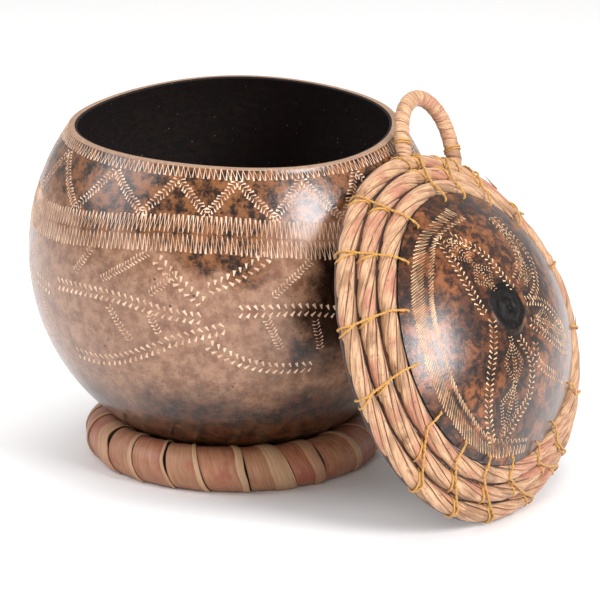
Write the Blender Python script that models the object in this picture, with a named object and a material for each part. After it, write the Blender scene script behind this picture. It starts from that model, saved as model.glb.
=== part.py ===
"""Dried gourd bowl on a bark-wrapped ring, with its gourd lid leaning on it.

The bowl is the lower part of a near-round dried gourd, cut open at the top. It sits in a thick hoop
wrapped in strips of bark. The lid is the gourd's own top with the stem scar, sewn with thread to a
rim of three turns of twisted leaf coil, with a wrapped loop to lift it by. Metres, +Z up, the floor
at z = 0.
"""
from math import asin, atan2, cos, hypot, pi, radians, sin, sqrt

import bmesh
import bpy
from mathutils import Matrix, Vector

GAP = 0.0003                     # clearance between pieces that touch

# Base ring: a hoop wrapped in wide strips
RING_RADIUS = 0.0650             # middle of the hoop's thickness
RING_TUBE = 0.0124               # thickness of the hoop over a strip's raised edge, as a radius
RING_HEIGHT = 0.0105             # middle of the hoop above the floor; what reaches lower is pressed flat
RING_WRAPS = 22
RING_RELIEF = 0.0015
RING_PHASE = 0.06                # where the first strip starts, as a share of its width
RING_STEPS_PER_WRAP = 4
RING_SIDES = 12

# Bowl
BOWL_RADIUS = 0.105
BOWL_HALF_HEIGHT = 0.1065
BOWL_WALL = 0.0038
BOWL_STEPS = 56
BOWL_ROWS = 13
BOWL_SETTLE = 0.0003             # how far it settles between the strips' highest edges
BOWL_SEAT_LEAN = 56.2            # degrees below level at which the bowl's wall meets the ring
BOWL_LIP = 0.0007                # rounding of the cut edge
BOWL_LOBE = 0.0006               # slight three-lobed shape of the grown gourd
BOWL_LOBE_PHASE = 0.6            # where the first lobe lies, as an angle of the three-fold wave
BOWL_LOBE_FADE = 1.6             # how fast the lobes fade below the gourd's middle
RIM_HEIGHT = 0.1744              # cut edge above the floor
RIM_WAVES = ((1, 0.0024, 78.0), (2, 0.0014, 113.0), (3, 0.0007, -36.0), (4, 0.0003, 0.0))

# Lid, in its own frame: +Z out through the dome, the plane z = 0 through the first coil's middle
LID_PLACE = (0.1218, -0.0796, 0.0888)
LID_LEAN = 64.7                  # degrees that the dome's axis leans from upright
LID_TURN = 56.2                  # degrees that the leaning axis is turned about the vertical
LID_WAVES = ((2, 0.0034, 53.5), (3, 0.0022, -37.7))
COIL_RADIUS = 0.0728             # the first turn's radius
COIL_STEP = 0.0103               # from one turn to the next, along the slope
COIL_SLOPE = radians(36.7)
COIL_TUBE = (COIL_STEP - GAP) / 2
COIL_TURNS = 3
COIL_START = radians(62)         # where each turn steps outwards to the next
COIL_SHIFT = radians(50)         # the arc over which it steps
COIL_STEPS_PER_TURN = 84
COIL_SIDES = 8
COIL_STRAND_DEPTH = 0.0009
COIL_TWIST_PITCH = 0.075
COIL_TIP = 0.0008

CAP_WALL = 0.0034
CAP_STEPS = 54
CAP_ROWS = 9
SCAR_PLACE = (-0.0074, 0.0070)
SCAR_RADIUS = 0.012
SCAR_RIDGE = 0.0009
SCAR_TURNS = 1.7                 # ridges from the scar's middle to its edge
SCAR_FADE = 1.3                  # where the ridges have died away, in scar radii

# Thread stitches: angle in degrees at the cap's edge and at the outer turn
STITCHES = ((88, 79), (115, 116), (136, 138), (159, 163), (182, 185), (204, 217), (221, 233),
            (236, 250), (251, 273), (272, 293), (290, 301), (317, 326), (345, 347), (11, 8),
            (36, 27), (56, 50), (74, 65))
THREAD_RADIUS = 0.0006
THREAD_SIDES = 5
HOLE_RADIUS = 0.0013
HOLE_INSET = 0.0042              # from the cap's edge, along the dome

# Loop handle on the outer turn
HANDLE_FEET = (84.0, 57.5)       # degrees round the rim
HANDLE_RISE = 0.0325             # above the outer turn's outer side
HANDLE_TUBE = 0.0040
HANDLE_ROOT = 0.0024
HANDLE_NECK = 0.0050             # length of the thin root before the leg swells
HANDLE_PINCH = 0.10              # how far the legs draw together towards the loop's top
HANDLE_ROUND = 0.62              # below 1 the loop is squarer than half an oval
HANDLE_SOCKET = 0.0029
HANDLE_SOCKET_DEPTH = 0.0038
HANDLE_SOCKET_LENGTH = 0.012     # of the cutter, out past the coil's surface
HANDLE_WRAP = 0.0052             # pitch of the strip wound on it
HANDLE_RELIEF = 0.0004
HANDLE_STEPS = 44
HANDLE_SIDES = 10

COLOURS = {                      # base colour, roughness
    "lacquered gourd": ((0.36, 0.21, 0.13), 0.32),
    "dark lacquered gourd": ((0.13, 0.055, 0.028), 0.30),
    "dried bark strip": ((0.46, 0.24, 0.13), 0.55),
    "dried leaf coil": ((0.66, 0.43, 0.24), 0.60),
    "golden thread": ((0.62, 0.40, 0.12), 0.60),
}


def clear_scene():
    for item in list(bpy.data.objects):
        bpy.data.objects.remove(item, do_unlink=True)


def material(name):
    colour, roughness = COLOURS[name]
    made = bpy.data.materials.get(name) or bpy.data.materials.new(name)
    made.use_nodes = True
    shader = made.node_tree.nodes["Principled BSDF"]
    shader.inputs["Base Color"].default_value = (*colour, 1.0)
    shader.inputs["Roughness"].default_value = roughness
    shader.inputs["Metallic"].default_value = 0.0
    return made


def add_piece(name, bm, finish, parent, smooth=40):
    """Turns a finished bmesh into a named object under its parent."""
    bmesh.ops.remove_doubles(bm, verts=bm.verts, dist=1e-6)
    bmesh.ops.recalc_face_normals(bm, faces=bm.faces)
    mesh = bpy.data.meshes.new(name)
    bm.to_mesh(mesh)
    bm.free()
    mesh.materials.append(material(finish))
    mesh.shade_smooth()
    mesh.set_sharp_from_angle(angle=radians(smooth))
    piece = bpy.data.objects.new(name, mesh)
    bpy.context.collection.objects.link(piece)
    piece.parent = parent
    return piece


def add_empty(name, parent=None):
    empty = bpy.data.objects.new(name, None)
    bpy.context.collection.objects.link(empty)
    empty.parent = parent
    return empty


def cut(piece, cutter):
    """Takes the cutter out of the piece and keeps the cutter out of the model."""
    cutter.hide_render = True
    cutter.display_type = "WIRE"
    hole = piece.modifiers.new("cut " + cutter.name, "BOOLEAN")
    hole.operation = "DIFFERENCE"
    hole.solver = "EXACT"
    hole.object = cutter


def waves(table, angle):
    """Sum of (count, height, phase in degrees) waves round a full turn."""
    return sum(height * cos(count * angle - radians(phase)) for count, height, phase in table)


def spin_profile(points, steps):
    """A closed shell from a profile in the XZ plane that starts and ends on the axis."""
    bm = bmesh.new()
    verts = [bm.verts.new((r, 0, z)) for r, z in points]
    edges = [bm.edges.new(pair) for pair in zip(verts, verts[1:])]
    bmesh.ops.spin(bm, geom=verts + edges, cent=(0, 0, 0), axis=(0, 0, 1), angle=2 * pi,
                   steps=steps, use_merge=True)
    bmesh.ops.remove_doubles(bm, verts=bm.verts, dist=1e-6)
    return bm


def spin_section(radius, tube, height, sides, steps):
    """A closed hoop: a round section, with two corners lowest, spun about the Z axis."""
    bm = bmesh.new()
    flat = Matrix.Rotation(pi / sides, 4, "Y") @ Matrix.Rotation(pi / 2, 4, "X")
    section = bmesh.ops.create_circle(bm, segments=sides, radius=tube,
                                      matrix=Matrix.Translation((radius, 0, height)) @ flat)["verts"]
    edges = list({edge for vert in section for edge in vert.link_edges})
    bmesh.ops.spin(bm, geom=section + edges, cent=(0, 0, 0), axis=(0, 0, 1), angle=2 * pi,
                   steps=steps, use_merge=True)
    bmesh.ops.remove_doubles(bm, verts=bm.verts, dist=1e-6)
    return bm


def strip_relief(phase):
    """Height from 0 to 1 of a wound strip: a gentle rise to its folded edge, then a drop."""
    place = phase % 1.0
    return 0.25 + 0.75 * place / 0.75 if place <= 0.75 else 0.0


def bowl_centre_height():
    """Height at which the bowl sits down on the ring's raised strips."""
    lean = radians(BOWL_SEAT_LEAN)
    reach = 1 / hypot(cos(lean) / BOWL_RADIUS, sin(lean) / BOWL_HALF_HEIGHT)
    return RING_HEIGHT + sqrt((reach + RING_TUBE - BOWL_SETTLE) ** 2 - RING_RADIUS ** 2)


def make_ring(parent):
    bm = spin_section(RING_RADIUS, RING_TUBE, RING_HEIGHT, RING_SIDES, RING_WRAPS * RING_STEPS_PER_WRAP)
    for vert in bm.verts:
        turn = atan2(vert.co.y, vert.co.x)
        angle = atan2(vert.co.z - RING_HEIGHT, hypot(vert.co.x, vert.co.y) - RING_RADIUS)
        phase = RING_WRAPS * turn / (2 * pi) + angle / (2 * pi) + RING_PHASE
        tube = RING_TUBE - RING_RELIEF * (1 - strip_relief(phase))
        radius = RING_RADIUS + tube * cos(angle)
        vert.co = (radius * cos(turn), radius * sin(turn), max(0.0, RING_HEIGHT + tube * sin(angle)))
    bmesh.ops.triangulate(bm, faces=bm.faces)
    return add_piece("base_ring", bm, "dried bark strip", parent)


def gourd_profile(radius, half_height, top, rows, down):
    """Points of a gourd wall from its lowest point up to the height top above its middle."""
    last = asin(top / half_height)
    points = []
    for row in range(rows + 1):
        angle = -pi / 2 + (last + pi / 2) * row / rows
        points.append((max(0.0, radius * cos(angle)) if row else 0.0, half_height * sin(angle)))
    return points[::-1] if down else points


def make_bowl(parent):
    centre = bowl_centre_height()
    top = RIM_HEIGHT - centre
    outer = gourd_profile(BOWL_RADIUS, BOWL_HALF_HEIGHT, top - BOWL_LIP, BOWL_ROWS, False)
    inner = gourd_profile(BOWL_RADIUS - BOWL_WALL, BOWL_HALF_HEIGHT - BOWL_WALL,
                          top - BOWL_LIP, BOWL_ROWS, True)
    lip = [(outer[-1][0] - BOWL_LIP, top), (inner[0][0] + BOWL_LIP, top)]
    bm = spin_profile(outer + lip + inner, BOWL_STEPS)
    for vert in bm.verts:
        turn = atan2(vert.co.y, vert.co.x)
        rise = max(0.0, vert.co.z) / top
        before = sqrt(1 - (vert.co.z / BOWL_HALF_HEIGHT) ** 2) if vert.co.z > 0 else 1.0
        vert.co.z += waves(RIM_WAVES, turn) * rise * rise
        after = sqrt(1 - (vert.co.z / BOWL_HALF_HEIGHT) ** 2) if vert.co.z > 0 else 1.0
        fade = max(0.0, 1 + BOWL_LOBE_FADE * vert.co.z / BOWL_HALF_HEIGHT)
        lobe = BOWL_LOBE * cos(3 * turn + BOWL_LOBE_PHASE) * fade
        scale = after / before + min(1.0, hypot(vert.co.x, vert.co.y) / BOWL_RADIUS) * lobe / BOWL_RADIUS
        vert.co = (vert.co.x * scale, vert.co.y * scale, vert.co.z + centre)
    bmesh.ops.triangulate(bm, faces=bm.faces)
    return add_piece("gourd_bowl", bm, "lacquered gourd", parent)


def dome_radius():
    """Radius of the sphere that the cap's wall and the coils' slope lie on, and its half angle."""
    edge = COIL_RADIUS - (COIL_TUBE + GAP) * cos(COIL_SLOPE)
    return edge / sin(COIL_SLOPE)


def dome_centre():
    """Height of that sphere's middle in the lid's frame."""
    return (COIL_TUBE + GAP) * sin(COIL_SLOPE) - dome_radius() * cos(COIL_SLOPE)


def scar_relief(x, y):
    """Raised swirl round the stem scar, sunk in its middle."""
    away = hypot(x - SCAR_PLACE[0], y - SCAR_PLACE[1]) / SCAR_RADIUS
    turn = atan2(y - SCAR_PLACE[1], x - SCAR_PLACE[0])
    if away > SCAR_FADE:
        return 0.0
    return SCAR_RIDGE * (cos(2 * pi * SCAR_TURNS * away - turn) * 0.6 + 0.4) * (1 - (away / SCAR_FADE) ** 2)


def make_cap(parent):
    sphere, middle = dome_radius(), dome_centre()
    angles = [COIL_SLOPE * (row / CAP_ROWS) for row in range(CAP_ROWS + 1)]
    outer = [((sphere + CAP_WALL / 2) * sin(a), middle + (sphere + CAP_WALL / 2) * cos(a)) for a in angles]
    inner = [((sphere - CAP_WALL / 2) * sin(a), middle + (sphere - CAP_WALL / 2) * cos(a)) for a in angles]
    bm = spin_profile(outer + inner[::-1], CAP_STEPS)
    for vert in bm.verts:
        x, y, z = vert.co
        if hypot(x, y, z - middle) > sphere:
            z += scar_relief(x, y)
        out = 1 + waves(LID_WAVES, atan2(y, x)) / (sphere * sin(COIL_SLOPE))
        vert.co = (x * out, y * out, z)
    bmesh.ops.triangulate(bm, faces=bm.faces)
    cap = add_piece("gourd_lid", bm, "dark lacquered gourd", parent)
    cut(cap, make_stitch_holes(parent))
    return cap


def on_slope(outwards, angle, lift):
    """A point on the lid's slope: outwards from the first coil's middle, lifted square to it."""
    radius = COIL_RADIUS + outwards * cos(COIL_SLOPE) + lift * sin(COIL_SLOPE)
    radius += waves(LID_WAVES, angle)
    height = -outwards * sin(COIL_SLOPE) + lift * cos(COIL_SLOPE)
    return Vector((radius * cos(angle), radius * sin(angle), height))


def hole_place(angle):
    """Middle of a stitch hole in the cap's wall, and the way that it is drilled."""
    lean = COIL_SLOPE - HOLE_INSET / dome_radius()
    radius = dome_radius() * sin(lean) + waves(LID_WAVES, angle) * sin(lean) / sin(COIL_SLOPE)
    place = Vector((radius * cos(angle), radius * sin(angle), dome_centre() + dome_radius() * cos(lean)))
    return place, Vector((sin(lean) * cos(angle), sin(lean) * sin(angle), cos(lean)))


def make_stitch_holes(parent):
    bm = bmesh.new()
    for inner, _ in STITCHES:
        place, way = hole_place(radians(inner))
        turn = way.to_track_quat("Z", "Y").to_matrix().to_4x4()
        bmesh.ops.create_cone(bm, cap_ends=True, segments=8, radius1=HOLE_RADIUS, radius2=HOLE_RADIUS,
                              depth=4 * CAP_WALL, matrix=Matrix.Translation(place) @ turn)
    return add_piece("stitch_hole_cutter", bm, "golden thread", parent)


def smooth_step(value):
    value = min(1.0, max(0.0, value))
    return value * value * (3 - 2 * value)


def sweep(points, radii, sides, shape):
    """A closed tube along points. shape(step, side angle) scales the radius at each corner."""
    bm = bmesh.new()
    rings = []
    side_way = None
    for step, point in enumerate(points):
        ahead = points[min(step + 1, len(points) - 1)] - points[max(step - 1, 0)]
        ahead.normalize()
        side_way = ahead.orthogonal() if side_way is None else side_way - ahead * side_way.dot(ahead)
        side_way.normalize()
        up_way = ahead.cross(side_way)
        corners = []
        for side in range(sides):
            angle = 2 * pi * side / sides
            turn, scale = shape(step, angle)
            reach = radii[step] * scale
            corners.append(bm.verts.new(point + side_way * (reach * cos(angle + turn))
                                        + up_way * (reach * sin(angle + turn))))
        rings.append(corners)
    for back, front in zip(rings, rings[1:]):
        for side in range(sides):
            after = (side + 1) % sides
            bm.faces.new((back[side], back[after], front[after], front[side]))
    bm.faces.new(rings[0][::-1])
    bm.faces.new(rings[-1])
    bmesh.ops.triangulate(bm, faces=bm.faces)
    return bm


def coil_step_out(turned):
    """How far out of the first turn's line the coil runs after turning so far, in steps."""
    whole, rest = divmod(turned, 2 * pi)
    return whole + smooth_step((rest - (2 * pi - COIL_SHIFT)) / COIL_SHIFT)


def coil_tube(turned, length):
    """Radius of the coil: full, but tapered in at its start and its end."""
    free = COIL_TUBE
    if turned < 0:
        free = COIL_STEP * smooth_step(1 + turned / COIL_SHIFT) - COIL_TUBE - GAP
    elif turned > length - COIL_SHIFT / 2:
        left = (length - turned) / COIL_SHIFT
        free = COIL_STEP * (1 - smooth_step(0.5 - left)) - COIL_TUBE - GAP
    return min(COIL_TUBE, max(COIL_TIP, free))


def make_coil(parent):
    length = COIL_TURNS * 2 * pi - COIL_SHIFT / 2
    start = -COIL_SHIFT / 2
    steps = COIL_TURNS * COIL_STEPS_PER_TURN
    points, radii = [], []
    for step in range(steps + 1):
        turned = start + (length - start) * step / steps
        out = max(0.0, min(COIL_TURNS - 1.0, coil_step_out(turned) if turned > 0 else 0.0))
        points.append(on_slope(out * COIL_STEP, COIL_START + turned, 0.0))
        radii.append(coil_tube(turned, length))
    travelled = [0.0]
    for back, front in zip(points, points[1:]):
        travelled.append(travelled[-1] + (front - back).length)

    def strands(step, angle):
        ridge = round(angle / (2 * pi) * COIL_SIDES) % 2
        return 2 * pi * travelled[step] / COIL_TWIST_PITCH, 1 - ridge * COIL_STRAND_DEPTH / COIL_TUBE

    bm = sweep(points, radii, COIL_SIDES, strands)
    coil = add_piece("rim_coil", bm, "dried leaf coil", parent, smooth=60)
    cut(coil, make_handle_sockets(parent))
    return coil


def handle_foot(angle, reach):
    """A point on the outer turn's middle circle, moved outwards in the turn's own plane."""
    foot = on_slope((COIL_TURNS - 1) * COIL_STEP, angle, 0.0)
    flat = Vector((foot.x, foot.y, 0)).normalized()
    return foot + flat * reach


def handle_route():
    """Middle line of the loop from one root to the other, in the outer turn's plane."""
    feet = [radians(angle) for angle in HANDLE_FEET]
    left, right = handle_foot(feet[0], 0.0), handle_foot(feet[1], 0.0)
    across = (right - left).normalized()
    middle = (left + right) / 2
    up = Vector((middle.x, middle.y, 0)).normalized()
    half = (right - left).length / 2
    sunk = COIL_TUBE - HANDLE_SOCKET_DEPTH + GAP
    top = COIL_TUBE + HANDLE_RISE
    points = []
    for step in range(HANDLE_STEPS + 1):
        angle = pi * step / HANDLE_STEPS
        wide = half * (1 - HANDLE_PINCH * sin(angle) ** 6) * (1 - HANDLE_PINCH / 2 * sin(angle))
        high = sunk + (top - sunk) * sin(angle) ** HANDLE_ROUND
        points.append(middle - across * (wide * cos(angle)) + up * high)
    return points


def make_handle(parent):
    points = handle_route()
    travelled = [0.0]
    for back, front in zip(points, points[1:]):
        travelled.append(travelled[-1] + (front - back).length)
    radii = []
    for along in travelled:
        from_end = min(along, travelled[-1] - along)
        swell = smooth_step((from_end - HANDLE_NECK) / HANDLE_NECK)
        radii.append(HANDLE_ROOT + (HANDLE_TUBE - HANDLE_ROOT) * swell)

    def wound(step, angle):
        phase = travelled[step] / HANDLE_WRAP + angle / (2 * pi)
        return 0.0, 1 - HANDLE_RELIEF / HANDLE_TUBE * (1 - strip_relief(phase))

    bm = sweep(points, radii, HANDLE_SIDES, wound)
    return add_piece("handle_loop", bm, "dried leaf coil", parent)


def make_handle_sockets(parent):
    points = handle_route()
    bm = bmesh.new()
    for end, after in ((points[0], points[3]), (points[-1], points[-4])):
        way = (after - end).normalized()
        turn = way.to_track_quat("Z", "Y").to_matrix().to_4x4()
        place = end + way * (HANDLE_SOCKET_LENGTH / 2 - GAP * 1.5)
        bmesh.ops.create_cone(bm, cap_ends=True, segments=12, radius1=HANDLE_SOCKET, radius2=HANDLE_SOCKET,
                              depth=HANDLE_SOCKET_LENGTH, matrix=Matrix.Translation(place) @ turn)
    return add_piece("handle_socket_cutter", bm, "golden thread", parent)


def stitch_route(inner, outer):
    """Closed line of one stitch: up through the cap's hole, over the coils and back beneath."""
    clear = COIL_TUBE + THREAD_RADIUS + GAP
    place, way = hole_place(inner)
    last = (COIL_TURNS - 1) * COIL_STEP
    above = [(-0.4 * COIL_STEP, 0.99), (0.0, 1.0), (0.5, 1.0), (1.0, 1.0), (1.5, 1.0)]
    out = [on_slope(part * COIL_STEP, inner + (outer - inner) * max(0.0, part) / 2, clear * high)
           for part, high in above]
    for step in range(7):
        turn = pi / 2 - pi * step / 6
        out.append(on_slope(last + clear * cos(turn), outer, clear * sin(turn)))
    under = [on_slope(part * COIL_STEP, inner + (outer - inner) * part / 2, -clear)
             for part in (1.5, 1.0, 0.5, 0.0)]
    half = CAP_WALL / 2 + THREAD_RADIUS
    return [place + way * half * 1.5, *out, *under, place - way * half * 1.5, place]


def make_stitch(number, inner, outer, parent):
    route = stitch_route(radians(inner), radians(outer))
    bm = bmesh.new()
    rings = []
    normal = (route[4] - route[0]).cross(route[8] - route[0]).normalized()
    for step, point in enumerate(route):
        ahead = (route[(step + 1) % len(route)] - route[step - 1]).normalized()
        side_way = (normal - ahead * normal.dot(ahead)).normalized()
        up_way = ahead.cross(side_way)
        rings.append([bm.verts.new(point + THREAD_RADIUS * (side_way * cos(angle) + up_way * sin(angle)))
                      for angle in (2 * pi * side / THREAD_SIDES for side in range(THREAD_SIDES))])
    for step, back in enumerate(rings):
        front = rings[(step + 1) % len(rings)]
        for side in range(THREAD_SIDES):
            after = (side + 1) % THREAD_SIDES
            bm.faces.new((back[side], back[after], front[after], front[side]))
    bmesh.ops.triangulate(bm, faces=bm.faces)
    return add_piece(f"stitch_{number:02d}", bm, "golden thread", parent)


def stand_on_origin(root):
    """Moves the whole model so that the middle of its footprint box is the origin, on the floor."""
    bpy.context.view_layer.update()
    graph = bpy.context.evaluated_depsgraph_get()
    corners = []
    for item in bpy.data.objects:
        if item.type == "MESH" and not item.hide_render:
            shape = item.evaluated_get(graph)
            corners += [item.matrix_world @ vert.co for vert in shape.data.vertices]
    low = [min(corner[axis] for corner in corners) for axis in range(3)]
    high = [max(corner[axis] for corner in corners) for axis in range(3)]
    root.location = (-(low[0] + high[0]) / 2, -(low[1] + high[1]) / 2, -low[2])


def main():
    clear_scene()
    root = add_empty("gourd_container")
    make_ring(root)
    make_bowl(root)
    lid = add_empty("leaning_lid", root)
    lid.location = LID_PLACE
    lid.rotation_euler = (radians(LID_LEAN), 0, radians(LID_TURN))
    make_cap(lid)
    make_coil(lid)
    make_handle(lid)
    for number, (inner, outer) in enumerate(STITCHES, 1):
        make_stitch(number, inner, outer, lid)
    stand_on_origin(root)


main()
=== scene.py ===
"""The looks of a dried gourd bowl on its bark-wrapped ring, with a coiled-rim lid leaning on it.

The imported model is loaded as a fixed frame. Each operator below makes one of the container's pieces
in fine detail over the solid that it stands for: the lacquered gourd shell, its engraving, the ring,
the lid, the twisted leaf coils, the thread and the wound handle.
"""
import random
from math import asin, atan2, cos, exp, hypot, pi, radians, sin, sqrt

import bmesh
import bpy
from mathutils import Euler, Matrix, Vector, noise


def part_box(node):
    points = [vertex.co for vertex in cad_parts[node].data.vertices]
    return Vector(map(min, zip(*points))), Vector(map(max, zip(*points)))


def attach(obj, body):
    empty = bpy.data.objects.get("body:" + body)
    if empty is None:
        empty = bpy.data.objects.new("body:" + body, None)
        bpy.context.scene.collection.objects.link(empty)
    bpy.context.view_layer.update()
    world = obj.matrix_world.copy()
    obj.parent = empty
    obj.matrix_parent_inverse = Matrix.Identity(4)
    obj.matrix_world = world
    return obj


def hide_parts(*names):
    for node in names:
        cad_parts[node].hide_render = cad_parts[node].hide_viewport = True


bl_info = {
    "name": "Gourd bowl with a coiled lid",
    "version": (1, 0, 0),
    "blender": (4, 5, 0),
    "location": "3D View > Sidebar > Gourd bowl",
    "description": "Makes the gourd shell, engraving, bark ring, leaf coils, thread and handle",
    "category": "Add Mesh",
}

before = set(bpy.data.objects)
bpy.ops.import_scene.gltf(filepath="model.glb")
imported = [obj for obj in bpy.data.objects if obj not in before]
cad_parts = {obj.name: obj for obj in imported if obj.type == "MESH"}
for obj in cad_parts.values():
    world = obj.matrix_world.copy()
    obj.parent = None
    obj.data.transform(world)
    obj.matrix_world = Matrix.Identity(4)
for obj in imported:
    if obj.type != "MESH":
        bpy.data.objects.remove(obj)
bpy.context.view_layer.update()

# Where the ring's and the bowl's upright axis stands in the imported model
AXIS = Vector(((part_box("base_ring")[0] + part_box("base_ring")[1]) / 2).xy)
GAP = 0.0003

# Bowl, in metres
BOWL_RADIUS = 0.105
BOWL_HALF_HEIGHT = 0.1065
BOWL_WALL = 0.0038
BOWL_CENTRE = 0.10914            # height of the gourd's middle above the floor
BOWL_LIP = 0.0007
BOWL_LOBE = 0.0006
RIM_HEIGHT = 0.1744
RIM_WAVES = ((1, 0.0024, 78.0), (2, 0.0014, 113.0), (3, 0.0007, -36.0), (4, 0.0003, 0.0))

# Ring
RING_RADIUS = 0.0650
RING_TUBE = 0.0124
RING_HEIGHT = 0.0105
RING_WRAPS = 22
RING_PHASE = 0.06

# Lid, in its own frame: +Z out through the dome
LID_FRAME = (Matrix.Translation(Vector((AXIS.x + 0.1218, AXIS.y - 0.0796, 0.0888)))
             @ Euler((radians(64.7), 0, radians(56.2))).to_matrix().to_4x4())
LID_WAVES = ((2, 0.0034, 53.5), (3, 0.0022, -37.7))
COIL_RADIUS = 0.0728
COIL_STEP = 0.0103
COIL_SLOPE = radians(36.7)
COIL_TUBE = (COIL_STEP - GAP) / 2
COIL_TURNS = 3
OUTER_COIL = (COIL_TURNS - 1) * COIL_STEP         # the last turn's middle, outwards on the slope
COIL_START = radians(62)
COIL_SHIFT = radians(50)
CAP_WALL = 0.0034
SCAR_PLACE = (-0.0074, 0.0070)
SCAR_RADIUS = 0.012
HOLE_INSET = 0.0042
THREAD_RADIUS = 0.0006
STITCHES = ((88, 79), (115, 116), (136, 138), (159, 163), (182, 185), (204, 217), (221, 233),
            (236, 250), (251, 273), (272, 293), (290, 301), (317, 326), (345, 347), (11, 8),
            (36, 27), (56, 50), (74, 65))
DOME_EDGE = COIL_RADIUS - (COIL_TUBE + GAP) * cos(COIL_SLOPE)
DOME_RADIUS = DOME_EDGE / sin(COIL_SLOPE)
DOME_CENTRE = (COIL_TUBE + GAP) * sin(COIL_SLOPE) - DOME_RADIUS * cos(COIL_SLOPE)

# Handle
HANDLE_FEET = (84.0, 57.5)
HANDLE_RISE = 0.0325
HANDLE_TUBE = 0.0040
HANDLE_ROOT = 0.0024
HANDLE_NECK = 0.0050
HANDLE_SOCKET_DEPTH = 0.0038
HANDLE_WRAP = 0.0052

# Camera, fitted to the photograph's outlines: a long lens from the front, slightly above
CAMERA_LENS = 308.9
CAMERA_DISTANCE = 2.6315
CAMERA_DOWN = radians(16.79)
CAMERA_TARGET = Vector((AXIS.x + 0.0336, AXIS.y, 0.0799))


def to_linear(code):
    """A linear RGBA colour from an sRGB hex code."""
    parts = [int(code[place:place + 2], 16) / 255 for place in (0, 2, 4)]
    return (*[part / 12.92 if part <= 0.04045 else ((part + 0.055) / 1.055) ** 2.4 for part in parts], 1.0)


def plug(node, sockets):
    """Gives a node's sockets their values, or links from other nodes' outputs."""
    for name, value in sockets.items():
        if isinstance(value, bpy.types.NodeSocket):
            node.id_data.links.new(value, node.inputs[name])
        else:
            node.inputs[name].default_value = value


def add_node(tree, kind, sockets, out=0, **settings):
    """Adds a node with its settings and links, and gives its output."""
    node = tree.nodes.new(kind)
    for name, value in settings.items():
        setattr(node, name, value)
    plug(node, sockets)
    return node.outputs[out]


SOFT = {"interpolation_type": "SMOOTHSTEP"}       # a range with soft ends
MIXED = {"data_type": "RGBA", "out": 2}           # colours mixed, not numbers


def smooth_step(value):
    value = min(1.0, max(0.0, value))
    return value * value * (3 - 2 * value)


def waves(table, angle):
    """Sum of (count, height, phase in degrees) waves round a full turn."""
    return sum(height * cos(count * angle - radians(phase)) for count, height, phase in table)


def start_material(name):
    """A material with its tree, its Principled shader and the coordinates that its patterns lie on."""
    made = bpy.data.materials.new(name)
    made.use_nodes = True
    tree = made.node_tree
    coords = add_node(tree, "ShaderNodeTexCoord", {}, out="Object")
    return made, tree, tree.nodes["Principled BSDF"], coords


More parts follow.
